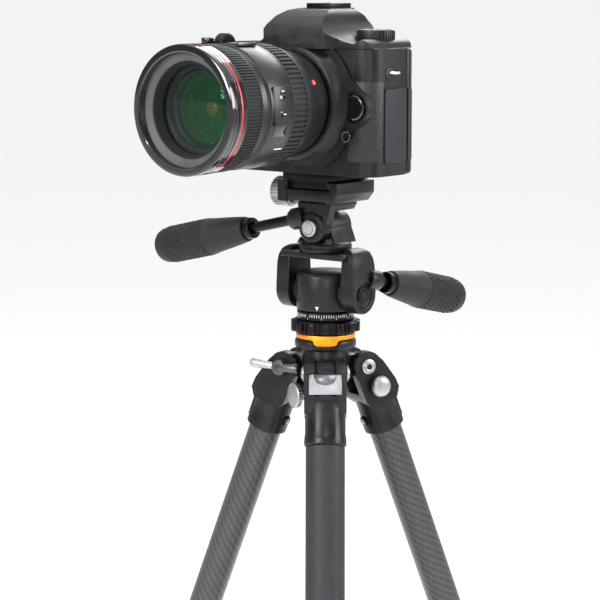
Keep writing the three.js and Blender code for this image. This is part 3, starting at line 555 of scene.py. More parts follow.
# Fixed barrel: smooth waist, window section, and the black taper down to the bayonet.
give(turned("fixed_barrel", [(34.5, focus_front - 1.5), (35.8, focus_front - 1.5), (35.8, focus_rear - 0.2),
                             (38.2, focus_rear - 0.3), (38.6, focus_rear - 0.8), (38.6, focus_rear - 7.2),
                             (39.6, focus_rear - 8.2), (barrel_radius, focus_rear - 8.6),
                             (barrel_radius, zoom_front + 0.5), (40.4, zoom_front + 0.3),
                             (35.8, zoom_front + 0.2), (35.8, zoom_rear - 0.2), (38.9, zoom_rear - 0.3),
                             (39.2, zoom_rear - 1.0), (38.4, zoom_rear - 7), (36.6, zoom_rear - 14),
                             (35.2, 48), (34.8, 44.5), (33.6, 44), (33.4, 40.4), (26, 40.2), (26, 44),
                             (33.3, 50), (33.3, 100), (34.5, focus_front - 1.5)], lens, 96, 0.2),
     barrel_paint, "camera", "lens_barrel")

give(turned("bayonet_ring", [(27, 40.15), (33.2, 40.15), (33.2, 43.6), (27, 43.6), (27, 40.15)], lens, 64,
            0.1), chrome, "camera")


def on_barrel(name, angle, radius, width, rear, front, thickness, bevel=0.3):
    """A small flat plate on the barrel, at an angle round it from the ports' side towards the top."""
    place = lens @ Matrix.Rotation(math.radians(angle), 4, "Z")
    return block(name, (radius - 1.2, -width / 2, rear), (radius + thickness, width / 2, front), place,
                 bevel)


section_rear, section_front = zoom_front + 0.6, focus_rear - 8.6
panel_middle = (section_rear + section_front) / 2
give(on_barrel("window_frame", 92, 40.2, 26, section_rear + 2, section_front - 2, 0.7, 0.5), barrel_paint,
     "camera")
give(on_barrel("distance_window", 92, 40.2, 21, section_rear + 4.5, section_front - 4.5, 1.0, 0.4),
     screen_glass, "camera")
for number in range(9):
    give(on_barrel(f"distance_tick_{number}", 80 + 3 * number, 41.28, 0.35, panel_middle - 2,
                   panel_middle + 1, 0.05, 0), white_paint, "camera")

give(on_barrel("switch_plate", 3, 40.0, 25, section_rear + 2.5, section_front - 2.5, 0.8, 0.5),
     barrel_paint, "camera")
for number, angle in enumerate((13, -7)):
    give(on_barrel(f"switch_well_{number}", angle, 40.4, 7.5, panel_middle - 3.2, panel_middle + 3.2, 0.9,
                   0.6), gloss_black, "camera")
    give(on_barrel(f"switch_lever_{number}", angle + 1.6, 41.2, 2.6, panel_middle - 2, panel_middle + 2,
                   1.1, 0.5), plastic, "camera")
    give(on_barrel(f"switch_mark_{number}", angle + 2.8, 41.9, 0.5, panel_middle - 1.4, panel_middle + 1.4,
                   0.45, 0), white_paint, "camera")
give(on_barrel("plain_plate", -19, 40.3, 9.5, panel_middle - 5.5, panel_middle + 5.5, 0.45, 0.3),
     gloss_black, "camera")
give(on_barrel("zoom_index", -40, 40.4, 0.7, section_rear + 1, section_rear + 9, 0.25, 0), white_paint,
     "camera")
give(turned("barrel_seam", [(40.3, section_rear + 0.9), (40.75, section_rear + 0.9),
                            (40.75, section_rear + 1.3), (40.3, section_rear + 1.3),
                            (40.3, section_rear + 0.9)], lens, 96, 0), gloss_black, "camera")

dot_place = (lens @ Matrix.Rotation(math.radians(24), 4, "Z")
             @ Matrix.Translation(Vector((37.0, 0, zoom_rear - 12)) * MM)
             @ Matrix.Rotation(math.radians(84), 4, "Y"))
give(turned("mount_dot", [(0, -0.6), (1.9, -0.6), (1.9, 0.5), (1.3, 1.0), (0, 1.15)], dot_place, 24, 0.1),
     red_paint, "camera")

# Sliding front barrel: gloss rim with a filter thread, a red line, and the cone that looks at the glass.
f = lens_front
give(turned("front_rim", [(36.6, f - 0.5), (37.4, f), (40.6, f), (41.5, f - 0.5), (rim_radius, f - 1.3),
                          (rim_radius, f - 3.4), (41.2, f - 3.8), (41.2, f - 4.4), (41.7, f - 4.8),
                          (41.7, f - 6.6), (41.2, f - 6.9), (41.2, f - 7.3), (rim_radius, f - 7.5),
                          (rim_radius, f - 9.6), (41.3, f - 9.7), (41.3, f - 10.9), (rim_radius, f - 11.0),
                          (rim_radius, rear_of_rim + 0.5), (41.2, rear_of_rim), (33, rear_of_rim),
                          (33, f - 60), (31, f - 60), (31, f - 20), (36.6, f - 16), (36.6, f - 0.5)], lens,
            128, 0), gloss_black, "front_barrel", "front_barrel")
give(turned("red_line", [(41.2, f - 10.95), (41.62, f - 10.95), (41.72, f - 10.6), (41.72, f - 9.95),
                         (41.62, f - 9.65), (41.2, f - 9.65), (41.2, f - 10.95)], lens, 128, 0), red_paint,
     "front_barrel")

thread = []
for number in range(5):
    height = f - 0.8 - 0.8 * number
    thread += [(36.65, height), (36.2, height - 0.4)]
thread += [(36.65, f - 4.9), (36.9, f - 4.9), (36.9, f - 0.8), (36.65, f - 0.8)]
give(turned("filter_thread", thread, lens, 96, 0), black_metal, "front_barrel")

give(turned("retaining_ring", [(36.5, f - 5), (36.3, f - 5.2), (31.6, f - 6.4), (31.0, f - 7.0),
                               (31.0, f - 8), (36.5, f - 8), (36.5, f - 5)], lens, 128, 0.1),
     rubber("retaining_ring_paint", "#3a3b3d", "#47484b", 0.5), "front_barrel")
steps = [(31.2, f - 8)]
for number in range(5):
    steps += [(30.8 - 0.42 * number, f - 8 - 1.0 * number), (30.4 - 0.42 * number, f - 8.9 - 1.0 * number)]
steps += [(28.6, f - 13.2), (28.6, f - 14.2), (31.2, f - 14.2), (31.2, f - 8)]
give(turned("baffle_cone", steps, lens, 96, 0), dead_black_and_painted_shade, "front_barrel")

give(turned("front_glass", [(28.7, f - 15.5), (28.7, f - 13.4), (26, f - 12.7), (21, f - 11.8),
                            (14, f - 11.1), (7, f - 10.7), (0, f - 10.6)], lens, 96, 0), front_glass,
     "front_barrel", "front_element")
give(turned("rear_cell", [(28.8, f - 15.7), (28.8, f - 17), (25.5, f - 17.5), (24.6, f - 20),
                          (22.6, f - 20.6), (21.6, f - 24), (19.4, f - 24.6), (18.6, f - 28),
                          (17.0, f - 28.6), (17.0, f - 34), (30.8, f - 34), (30.8, f - 15.7),
                          (28.8, f - 15.7)], lens, 96, 0.1),
     rubber("inner_cell_paint", "#17181a", "#1f2022", 0.45), "front_barrel")
# The pale beige ring inside the cell is a painted highlight on the lens's inner rings.
give(turned("cell_ring", [(18.8, f - 24.5), (21.5, f - 23.8), (21.7, f - 23.2), (21.0, f - 22.9),
                          (18.8, f - 23.9), (18.8, f - 24.5)], lens, 96, 0),
     rubber("cell_ring_painted_highlight", "#3d3b34", "#4a473f", 0.4), "front_barrel")
give(turned("second_glass", [(23.5, f - 22), (23.5, f - 19.8), (19, f - 18.4), (12, f - 17.2),
                             (6, f - 16.7), (0, f - 16.5)], lens, 96, 0), coated_glass, "front_barrel")
give(turned("deep_glass", [(16.8, f - 33.5), (16.8, f - 31.5), (12, f - 30), (6, f - 29.2), (0, f - 29)],
            lens, 64, 0), deep_green_glass, "front_barrel")
# The small amber dome at the centre is a painted amber glint of the coated glass.
give(turned("amber_glint_glass", [(4.6, f - 30), (4.6, f - 29.0), (3.4, f - 28.4), (0, f - 28)], lens, 40, 0),
     amber_glint_glass, "front_barrel")


# ---------------------------------------------------------------- camera body

body_left = 59.3
body_right = 91
body_front = 27
body_back = 22
grip_reach = 45
grip_round = 14
finger_round = 12
front_round = 12
back_round = 7
split = 11          # parting plane of the rear cover
deck = 84           # parting plane of the top cover


def grip_front(grow=0.0, steps=6, finger_steps=5):
    """The grip's rounded front seen from above, and the hollow for the fingers beside it."""
    return (arc(-body_right + grip_round, -grip_reach + grip_round, grip_round + grow, 180, 270, steps)
            + arc(-67, -33, finger_round + grow, 275, 335, finger_steps))


def ports_corner():
    """The rounded front corner on the ports' side."""
    return arc(body_left - front_round, -body_front + front_round, front_round, -90, 0, 6)


def back_corners():
    """Both rounded corners of the back, from the ports' side to the grip's."""
    return (arc(body_left - back_round, body_back - back_round, back_round, 0, 90, 4)
            + arc(-body_right + back_round, body_back - back_round, back_round, 90, 180, 4))


def plan():
    """Outline of the whole camera seen from above, anticlockwise from the grip's front."""
    return grip_front() + [(-52, -body_front), (-40, -body_front)] + ports_corner() + back_corners()


def kept(piece, low, high):
    """Keeps what lies between two corners of the work frame, in millimetres."""
    return cut(piece, block("keep", low, high, upright, 0), "INTERSECT")


# Front shell: the plan extruded, its grip side and ports side rounded, open behind for the rear cover.
shell = outline("front_shell", plan(), 0, deck - 0.15, planar("xy"), 0)
shell = kept(shell, (-100, -60, -1), (70, split - 0.2, deck + 1))
release_place = along((0, -1, 0), (46.5, 0, 46))
release_well = turned("release_well", [(0, 20), (9.6, 20), (9.6, 25.0), (11.2, 30), (0, 30)],
                      release_place, 40, 0)
shell = cut(shell, release_well)
soften(shell, 2.4, 4, 40)
give(shell, plastic, "camera", "body_shell")

# Raised collar round the bayonet, fuller on the ports' side, and the throat behind the lens.
collar = turned("bayonet_collar", [(33.5, 20), (43.5, 26), (43.2, 27.4), (41.6, 30.2), (39.8, 33),
                                   (38.6, 36.6), (37.4, 39), (36, 39.6), (34, 39.7), (33.4, 39.2),
                                   (33.5, 20)], lens, 96, 0.3)
collar = kept(collar, (-60, -45, 1.2), (60, -15, deck + 1))
soften(collar, 0, 1, 40)
give(collar, plastic, "camera")
cheek_points = (arc(0, 0, 38.5, -66, 58, 18) + arc(0, 0, 46.5, 56, 22, 6) + arc(46.5, -2, 12.2, 62, -62, 12)
                + arc(0, 0, 47.5, -22, -66, 8))
cheek = outline("mount_cheek", cheek_points, 24, 30.8, planar("xz", (0, 0, lens_height)), 0)
cheek = cut(cheek, turned("cheek_well", [(0, 22), (9.3, 22), (9.3, 27), (10.6, 32), (0, 32)],
                          release_place, 40, 0))
soften(cheek, 2.2, 5, 50)
give(cheek, plastic, "camera")

give(turned("release_button",
            [(0, 24.9), (8.6, 24.9), (8.7, 29.0), (8.3, 30.0), (7.2, 30.6), (4.6, 30.2), (0, 29.9)],
            release_place, 48, 0.15), gloss_black, "lens_release_button", "lens_release_button")
give(turned("preview_button", [(3.9, 30.6), (3.9, 31.5), (3.3, 31.9), (2.7, 31.6), (2.5, 31.0), (0, 31.1)],
            along((0, -1, 0), (41.0, 0, 27.0)), 32, 0.1), gloss_black, "camera")

# Pebbled panel between the collar and the ports, wrapped round the corner.
corner = arc(body_left - front_round, -body_front + front_round, front_round + 0.6, -90, 0, 8)
inner = arc(body_left - front_round, -body_front + front_round, front_round - 0.6, 0, -90, 8)
give(outline("ports_side_leatherette", [(40, -body_front - 0.6)] + corner
             + [(body_left + 0.6, -14.6), (body_left - 0.6, -14.6)] + inner + [(40, -body_front + 0.6)], 10,
             63, planar("xy"), 0.35, 2, 40), leather, "camera")

# Hand grip: leatherette skin with a finger swell, standing a little proud of the shell.
skin_proud = 0.5
grip_outline = ([(-body_right - skin_proud, 7)] + grip_front(skin_proud, 8, 6)
                + [(-51.5, -body_front - 0.6), (-53, -body_front + 4), (-80, -20), (-80, 7)])
give(outline("grip_skin", grip_outline, 4, 80, planar("xy"), 1.6, 4, 40), leather, "camera", "hand_grip")

# Rear cover with its screen, eyepiece, dial and buttons.
rear = outline("rear_shell", plan(), 0, deck - 0.15, planar("xy"), 0)
rear = kept(rear, (-100, split, -1), (70, 40, deck + 1))
soften(rear, 2.4, 4, 40)
give(rear, plastic, "camera", "rear_cover")
rear_face = planar("xz", (0, body_back, 0))


def on_back(name, points, depth, material, bevel=0.4):
    """A flat detail on the rear face: points are (x, z), depth is how far it stands out."""
    shape = outline(name, points, -depth, 0.4, rear_face, bevel, 2, 40)
    return give(shape, material, "camera")


on_back("screen_bezel", round_rect(-36, 36, 12, 68, 3), 1.0, plastic, 0.5)
on_back("rear_screen", round_rect(-32, 32, 15.5, 64.5, 1.5), 1.5, screen_glass, 0.3)
for number in range(5):
    low_edge = 14 + 10.4 * number
    on_back(f"menu_button_{number}", round_rect(41, 49, low_edge, low_edge + 5.2, 2.4), 1.6, soft_rubber,
            0.4)
on_back("thumb_rest", round_rect(-88, -50, 60, 81, 7), 1.2, leather, 0.7)
for number, (u, v) in enumerate(((-62, 76), (-74, 77))):
    give(turned(f"thumb_button_{number}", [(0, -0.5), (3.2, -0.5), (3.2, 1.6), (2.6, 2.2), (0, 2.4)],
                along((0, 1, 0), (u, body_back, v)), 24, 0.1), soft_rubber, "camera")
give(turned("joystick", [(0, -0.5), (4, -0.5), (4, 1.2), (2.4, 1.6), (2.1, 3.4), (0, 3.8)],
            along((0, 1, 0), (-50, body_back, 62)), 24, 0.1), soft_rubber, "camera")
wheel_place = along((0, 1, 0), (-66, body_back, 36))
give(turned("rear_wheel", [(0, 0.3), (16.9, 0.3), (16.9, 1.8), (16.2, 2.5), (14.4, 2.8), (12.6, 2.3),
                           (7.4, 1.7), (7.0, 2.4), (0, 2.6)], wheel_place, 64, 0.15), plastic, "rear_dial",
     "rear_dial")
wheel_rib = block("wheel_rib", (13.2, -0.35, 2.2), (16.4, 0.35, 2.9), wheel_place, 0.15)
give(ring_of("rear_wheel_ribs", wheel_rib, 48, wheel_place), plastic, "rear_dial")

eyecup = outline("eyecup", round_rect(-17, 17, 85, 101.5, 5), -8.5, 6, rear_face, 0)
eyecup = cut(eyecup, outline("eye_window", round_rect(-11, 11, 88.5, 98.5, 3), -12, -1, rear_face, 0))
soften(eyecup, 1.2, 3, 40)
give(eyecup, soft_rubber, "camera")
on_back("eyepiece_glass", round_rect(-10.6, 10.6, 88.9, 98.1, 2.5), 0.9, screen_glass, 0.2)

# Ports' side: rubber doors, the panel behind the parting line, the strap lug.
side = planar("yz", (0, 0, 0))
door_low, door_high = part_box("port_cover")
door_outline = round_rect((door_low[1] - origin[1]) / MM, (door_high[1] - origin[1]) / MM,
                          (door_low[2] - origin[2]) / MM, (door_high[2] - origin[2]) / MM, 2.5)
give(outline("port_door", door_outline, body_left + 0.3, body_left + 1.9, side, 0.6, 3, 40), door_rubber,
     "port_cover", "port_cover")
give(outline("rear_side_panel", round_rect(split + 1.2, body_back - 5.5, 9, 58, 2), body_left - 0.4,
             body_left + 1.1, side, 0.5, 3, 40), door_rubber, "camera")
give(outline("lug_plate", round_rect(-12, 4, 63, 72, 3), body_left - 1, body_left + 0.7, side, 0.4, 2, 40),
     plastic, "camera")
for hand, x, y, z in (("left", body_left, -4, 68.5), ("right", -body_right, -6, 76)):
    give(turned(f"strap_lug_{hand}", arc(4.2, 0, 0.9, 0, 360, 12), along((0, 0, 1), (x, y, z)), 40, 0),
         chrome, "camera")

# Top cover: one swept outline with the viewfinder hump, cut to the plan and to the hump's side view.
top_front = ([(-body_right + 0.5, deck + 0.15), (body_left - 1.5, deck + 0.15)]
             + arc(body_left - 10.5, deck - 1.5, 8, 15, 80, 5)
             + [(44, 87.4), (36, 88.9), (30, 91.2), (26, 94.4), (22.8, 98.2), (20.6, 101.6)]
             + arc(10.2, 100.2, 10.3, 22, 88, 6) + arc(-13, 99.6, 10.8, 92, 150, 6)
             + [(-25, 99.5), (-27.5, 94.5), (-31, 90.6), (-36, 87.6), (-42, 86.0), (-50, 85.8)]
             + arc(-body_right + 8, deck - 6, 7.8, 88, 116, 4))
top = outline("top_shell", top_front, -50, 50, planar("xz"), 0)
top_plan = (grip_front() + [(-52, -body_front), (-31, -body_front - 0.5), (-26, -35), (-22, -37.5)]
            + [(0, -39.2), (22, -37.5), (26, -35), (31, -body_front - 0.5)]
            + ports_corner() + back_corners())
top = cut(top, outline("top_plan", top_plan, deck - 5, 120, planar("xy"), 0), "INTERSECT")
hump_side = [(-60, deck - 3), (40, deck - 3), (40, 84), (body_back, 99), (body_back - 4.5, 105.4),
             (body_back - 10, 109.4), (5, 110.4), (-8, 110.4), (-18, 108.9), (-26.5, 105.1), (-32.8, 99.6),
             (-37, 92.8), (-39.0, 87.6), (-39.4, 85.4), (-60, 85.4)]
top = cut(top, outline("hump_side", hump_side, -100, 100, planar("yz"), 0), "INTERSECT")
soften(top, 3.2, 6, 24)
give(top, plastic, "camera", "top_cover")
refined("hot_shoe", black_metal, 0.15, 2)
give(outline("shoe_base", round_rect(-12, 12, -10, 17, 2), 103, 110.4, planar("xy"), 0.2), plastic,
     "camera")

dial = along((0, 0, 1), (40.5, 2, 0))
mode = turned("mode_dial_body", [(0, 88.6), (12.2, 88.6), (12.6, 89.2), (12.6, 95.6), (12.0, 96.3),
                                 (10.6, 96.5), (10.2, 96.2), (0, 96.2)], dial, 64, 0.1)
teeth = ring_of("mode_dial_teeth", block("tooth", (12.0, -0.45, 89.4), (12.95, 0.45, 95.4), dial, 0.2), 40,
                dial)
mode = join("mode_dial_finished", [mode, teeth])
give(mode, plastic, "mode_dial", "mode_dial")
for number in range(8):
    place = dial @ Matrix.Rotation(math.radians(45 * number), 4, "Z")
    give(block(f"mode_mark_{number}", (6.4, -0.45, 96.1), (9.2, 0.45, 96.32), place, 0), white_paint,
         "mode_dial")
give(turned("mode_dial_seat", [(0, 86), (14.2, 86), (14.2, 87.6), (13.2, 88.4), (0, 88.4)], dial, 48, 0.2),
     plastic, "camera")

wheel_axis = along((1, 0, 0), (0, -22.5, 84.5))
command = turned("main_wheel",
                 [(0, -74.8), (7.2, -74.8), (7.8, -74.2), (7.8, -67.8), (7.2, -67.2), (0, -67.2)],
                 wheel_axis, 48, 0.1)
wheel_teeth = ring_of("main_wheel_teeth",
                      block("tooth", (7.3, -0.4, -74.4), (8.1, 0.4, -67.6), wheel_axis, 0.15), 30,
                      wheel_axis)
give(join("main_wheel_finished", [command, wheel_teeth]), plastic, "main_dial", "main_dial")
give(turned("shutter_cap", [(0, 84.2), (4.4, 84.2), (4.4, 89.2), (4.0, 89.8), (2.5, 89.7), (0, 89.4)],
            along((0, 0, 1), (-74, -37, 0)), 40, 0.1), gloss_black, "shutter_button", "shutter_button")
give(outline("top_display", round_rect(-76, -42, -8, 15, 2), 85.0, 86.7, planar("xy"), 0.3), screen_glass,
     "camera")
for number in range(3):
    low_edge = -64 + 9 * number
    give(outline(f"top_key_{number}", round_rect(low_edge, low_edge + 5, -15, -12, 1.4), 84.8, 87.0,
                 planar("xy"), 0.3), soft_rubber, "camera")
refined("battery", plastic, 0.8)


# ---------------------------------------------------------------- quick-release clamp

refined("quick_plate", black_metal, 0.5, 2)
clamp_half = 21.25
clamp_face = [(-17, -20.4), (20.8, -20.4), (25.8, -14.4), (25.8, -5.9), (16.6, -5.9), (16.6, -7.5),
              (19.5, -11.6), (-17, -11.6)]
body = outline("clamp_casting", clamp_face, -clamp_half, clamp_half, planar("xz"), 0.9, 3)
scallop = outline("clamp_scallop", [(-15, -21), (17.5, -21), (15.5, -19.2), (-13, -19.2)], -30, 30,
                  planar("xz"), 0)
body = cut(body, scallop)
soften(body, 0.3, 2)
give(body, casting, "roll", "clamp_body")
give(outline("clamp_front_panel", round_rect(-14.6, 22.4, -18.2, -12.6, 1.6), clamp_half - 0.3,
             clamp_half + 0.35, planar("xz"), 0.25), casting, "roll")
jaw = outline("clamp_jaw_block", [(-25.6, -20.4), (-17.5, -20.4), (-17.3, -11.6), (-19.5, -11.6),
                                  (-16.6, -7.5), (-16.6, -5.9), (-24.2, -5.9), (-25.6, -7.4)], -clamp_half,
              clamp_half, planar("xz"), 0)
round_boss = turned("jaw_boss", [(0, -25.7), (7.2, -25.7), (7.6, -25.2), (7.6, -18), (0, -18)],
                    Matrix.Translation(work(0, 0, clamp_screw_height))
                    @ Matrix.Rotation(math.pi / 2, 4, "Y"), 40, 0)
jaw = join("clamp_jaw_casting", [jaw, round_boss])
soften(jaw, 0.6, 3, 40)
give(jaw, casting, "jaw", "clamp_jaw")
give(block("jaw_seam", (-17.25, -clamp_half - 0.1, -20.2), (-17.05, clamp_half + 0.1, -6.2), upright, 0),
     dead_black_and_painted_shade, "roll")

# Knurled silver knob: straight ribs with a neck behind, a shallow dish in its face.
knob_place = along((-1, 0, 0), (0, 0, clamp_screw_height))
knob = turned("clamp_knob_turned", [(0, 10), (2.5, 10), (2.5, 26.1), (8.4, 26.1), (9.2, 26.7), (9.2, 28.2),
                                    (9.9, 28.6), (9.9, 40.9), (9.3, 41.7), (8.2, 42.1), (6.9, 42.0),
                                    (6.6, 41.2), (0, 41.2)], knob_place, 64, 0.12)
rib = block("knob_rib", (9.3, -0.62, 28.9), (10.3, 0.62, 41.2), knob_place, 0.3, 2)
knob = join("clamp_knob_finished", [knob, ring_of("knob_ribs", rib, 26, knob_place)])
give(knob, silver, "release_knob", "clamp_knob")
give(turned("knob_eye", [(0, 41.0), (3.1, 41.0), (3.1, 41.6), (2.4, 41.9), (0, 41.7)], knob_place, 24, 0.1),
     black_metal, "release_knob")

# ---------------------------------------------------------------- roll platform

wedge_top = -20.7
wedge = outline("roll_wedge", [(-9.5, -33.5), (-6, -29.5), (9, -30), (9.8, -40.4), (12.6, -35.2),
                               (16.5, wedge_top), (-12.5, wedge_top), (-12.2, -27)], 8, 15.6, planar("xz"),
                0)
soften(wedge, 0.9, 3)
give(wedge, casting, "roll")
roll_axis = along((0, -1, 0), (0, 0, roll_height))
give(turned("roll_disc", [(4.4, 8.1), (11, 8.1), (11, 15.4), (10.4, 16.2), (9.6, 16.9), (8.6, 17.1),
                          (6.3, 17.1), (6.2, 16.2), (4.4, 16.2), (4.4, 8.1)], roll_axis, 64, 0.2), casting,
     "roll")
give(outline("roll_shelf", [(-12, -26.4), (14.2, -26.4), (16.5, -22.5), (16.5, wedge_top),
                            (-12.5, wedge_top), (-12.5, -25)], -14, 9, planar("xz"), 0.8, 3), casting,
     "roll", "roll_bracket")
give(turned("roll_cap",
            [(0, 15.9), (5.9, 15.9), (5.9, 18.9), (5.3, 19.6), (4.5, 19.8), (4.2, 19.2), (0, 19.2)],
            roll_axis, 48, 0.12), silver, "tilt", "roll_pin")
give(turned("roll_cap_inset", [(0, 19.0), (3.9, 19.0), (3.9, 19.5), (0, 19.6)], roll_axis, 40, 0.1),
     grey_paint, "tilt")
give(turned("roll_pin_end", [(0, -17.6), (3.4, -17.6), (4.0, -17), (4.0, -15), (0, -15)], roll_axis, 32,
            0.1), silver, "tilt")
# The pin's hexagonal socket is a flat black hexagon on its end: painted shade in the recess.
give(turned("roll_pin_socket", [(0, -17.75), (1.9, -17.75), (1.9, -17), (0, -17)], roll_axis, 6, 0),
     dead_black_and_painted_shade, "tilt")

# Clevis that holds the left handle's rod, split by a slot on top.
slope = math.radians(13)
roll_handle = (Matrix.Translation(work(-12, -13, -32.3)) @ Matrix.Rotation(math.pi / 2, 4, "Z")
               @ Matrix.Rotation(-slope, 4, "X"))
tilt_handle = Matrix.Translation(work(30, 5, -72.2)) @ Matrix.Rotation(-slope, 4, "X")
to_y = Matrix.Rotation(-math.pi / 2, 4, "X")
give(turned("handle_clevis",
            [(4.2, -6), (7.0, -6), (7.4, -5.4), (7.4, 5.2), (6.6, 6.6), (5.4, 7.4), (4.2, 7.4), (4.2, -6)],
            roll_handle @ to_y, 48, 0.15), casting, "roll")
give(block("clevis_slot", (-0.7, -5.6, 3.2), (0.7, 6.6, 7.6), roll_handle, 0.1), dead_black_and_painted_shade, "roll")

# ---------------------------------------------------------------- tilt base and fork

give(turned("tilt_base_foot",
            [(0, -55), (17.2, -55), (17.9, -54.4), (18, -50.4), (17.2, -49.2), (15.4, -48.2), (0, -48)],
            upright, 72, 0.15), casting, "tilt", "tilt_base")
give(turned("tilt_base_band", [(17.7, -52.9), (18.2, -52.9), (18.2, -51.6), (17.7, -51.6), (17.7, -52.9)],
            upright, 72, 0), black_metal, "tilt")
ear = outline("roll_ear", [(-14, -49), (14, -49), (12.6, -45), (10, -39)]
              + arc(0, roll_height, 10, 5, 175, 16) + [(-10, -39), (-12.6, -45)], -16, 7.6, planar("xz"), 0)
ear = cut(ear, turned("ear_cut", [(0, 7), (11.4, 7), (11.4, 30), (0, 30)], roll_axis, 48, 0))
soften(ear, 1.4, 4, 40)
give(ear, casting, "tilt")
stop_block = outline("ear_cheek",
                     [(-13.5, -49), (13.5, -49), (11, -44.5), (9, -42), (-9, -42), (-11, -44.5)], 7, 14.5,
                     planar("xz"), 0)
stop_block = cut(stop_block,
                 turned("cheek_cut", [(0, 6), (13.5, 6), (13.5, 30), (0, 30)], roll_axis, 48, 0))
soften(stop_block, 0.8, 3, 40)
give(stop_block, casting, "tilt")

tilt_axis = along((1, 0, 0), (0, 0, tilt_height))
give(block("fork_bridge", (-27, -16, -59.2), (27, 16, -55.3), upright, 0.8, 3), casting, "tilt", "fork")
for sign, hand in ((1, "right"), (-1, "left")):
    arm_side = (arc(0, tilt_height, 13.2, 180, 360, 24) + [(13.0, -78), (12.2, -66), (11.6, -60)]
                + arc(4.6, -58, 6.4, 5, 85, 6) + arc(-4.6, -58, 6.4, 95, 175, 6)
                + [(-11.6, -60), (-12.2, -66), (-13.0, -78)])
    low, high = (22.5, 33.5) if sign > 0 else (-33.5, -22.5)
    arm = outline(f"fork_arm_{hand}", arm_side, low, high, planar("yz"), 0)
    mould = [(sign * 22, -97), (sign * 33.5, -97), (sign * 33.5, -64), (sign * 32.6, -58.5),
             (sign * 30.4, -54.2), (sign * 27, -51.9), (sign * 22, -51.6)]
    arm = cut(arm, outline("arm_mould", mould, -40, 40, planar("xz"), 0), "INTERSECT")
    dish = turned("dish", [(0, 31.9), (8.9, 31.9), (9.6, 36), (0, 36)],
                  along((sign, 0, 0), (0, 0, tilt_height)), 48, 0)
    arm = cut(arm, dish)
    soften(arm, 1.2, 4, 34)
    give(arm, casting, "tilt")
    give(turned(f"drum_boss_{hand}", [(0, 31.7), (5.8, 31.7), (5.8, 32.6), (5.1, 33.2), (0, 33.2)],
                along((sign, 0, 0), (0, 0, tilt_height)), 40, 0.15), black_metal, "tilt")
    # The hexagonal socket is a flat black hexagon standing on the boss: painted shade in its recess.
    give(turned(f"drum_socket_{hand}", [(0, 32.6), (2.2, 32.6), (2.2, 33.35), (0, 33.35)],
                along((sign, 0, 0), (0, 0, tilt_height)), 6, 0), dead_black_and_painted_shade, "tilt")
give(turned("tilt_handle_boss", [(4.2, 2), (6.9, 2), (6.9, 14), (6.3, 14.8), (4.2, 14.8), (4.2, 2)],
            tilt_handle @ to_y, 40, 0.2), casting, "tilt")

# Pan body: a smooth drum with side bosses for the fork and an index mark in front.
pan = turned("pan_drum", [(14.9, -95.4), (19.2, -95.4), (19.8, -94.9), (20, -94.2), (20, -72.2),
                          (19.5, -70.6), (18.2, -69.2), (16.2, -68.7), (0, -68.7), (0, -79), (14.9, -79),
                          (14.9, -95.4)], upright, 96, 0)
soften(pan, 0.2, 2)
give(pan, casting, "pan", "pan_body")
for sign, hand in ((1, "right"), (-1, "left")):
    give(turned(f"pan_boss_{hand}", [(0, 12), (9.4, 12), (9.4, 21.4), (8.7, 22.1), (0, 22.1)],
                along((sign, 0, 0), (0, 0, tilt_height)), 48, 0.15), casting, "pan")
give(turned("tilt_pin", [(0, -30.3), (5, -30.3), (5, 30.3), (0, 30.3)], tilt_axis, 32, 0.2), black_metal,
     "pan")
front_turn = upright @ Matrix.Rotation(math.radians(front_leg_azimuth - 17), 4, "Z")
give(outline("pan_index", [(-1.1, -91.4), (1.1, -91.4), (0, -94.0)], 19.85, 20.12,
             front_turn @ Matrix.Translation(-origin) @ planar("xz"), 0), white_paint, "pan")
for number, angle in enumerate((72, -30)):
    give(turned(f"pan_grub_screw_{number}", [(0, 19.3), (1.9, 19.3), (1.9, 20.15), (0, 20.15)],
                Matrix.Translation(work(0, 0, -88)) @ Matrix.Rotation(math.radians(angle), 4, "Z")
                @ Matrix.Rotation(math.pi / 2, 4, "X"), 20, 0.1), dead_black_and_painted_shade, "pan")

# Degree scale, one tick every 5 degrees and a long one every 30.
scale = turned("degree_scale", [(0, -101.7), (19.3, -101.7), (19.7, -101.3), (19.7, -96.2), (19.2, -95.8),
                                (14.5, -95.8), (14.5, -81), (0, -81)], upright, 96, 0.1)
hub = turned("scale_hub", [(0, -111), (16, -111), (16, -101.5), (0, -101.5)], upright, 64, 0)
give(join("degree_scale_ring", [scale, hub]), black_metal, "column", "pan_base")
for long_one, count, low_end in ((False, 72, -99.2), (True, 12, -100.4)):
    name = "long_ticks" if long_one else "short_ticks"
    tick = block(name, (19.6, -0.14, low_end), (19.78, 0.14, -97.2), upright, 0)
    give(ring_of(name, tick, count, upright), white_paint, "column")

# Lock ring: raised pads between hollows.
lock = turned("lock_ring_core", [(16.3, -110.6), (21.6, -110.6), (22.4, -109.8), (22.4, -103),
                                 (21.6, -102.1), (16.3, -102.1), (16.3, -110.6)], upright, 96, 0)
pad_outline = [(21.0, -2.9), (23.2, -2.9), (24.0, -2.2), (24.15, 0), (24.0, 2.2), (23.2, 2.9), (21.0, 2.9)]
pad = outline("lock_pad", pad_outline, -109.9, -102.9, upright, 0.5, 2)
narrow = outline("lock_pad_narrow", [(21.0, -0.9), (23.3, -0.9), (23.6, 0), (23.3, 0.9), (21.0, 0.9)],
                 -109.4, -103.4, upright, 0.3, 2)
pads = ring_of("lock_pads", pad, 14, upright)
narrow_pads = ring_of("lock_pads_narrow", narrow, 14, upright, 360 / 28)
give(join("lock_ring_finished", [lock, pads, narrow_pads]), black_metal, "lock_ring", "lock_ring")


# ---------------------------------------------------------------- handles

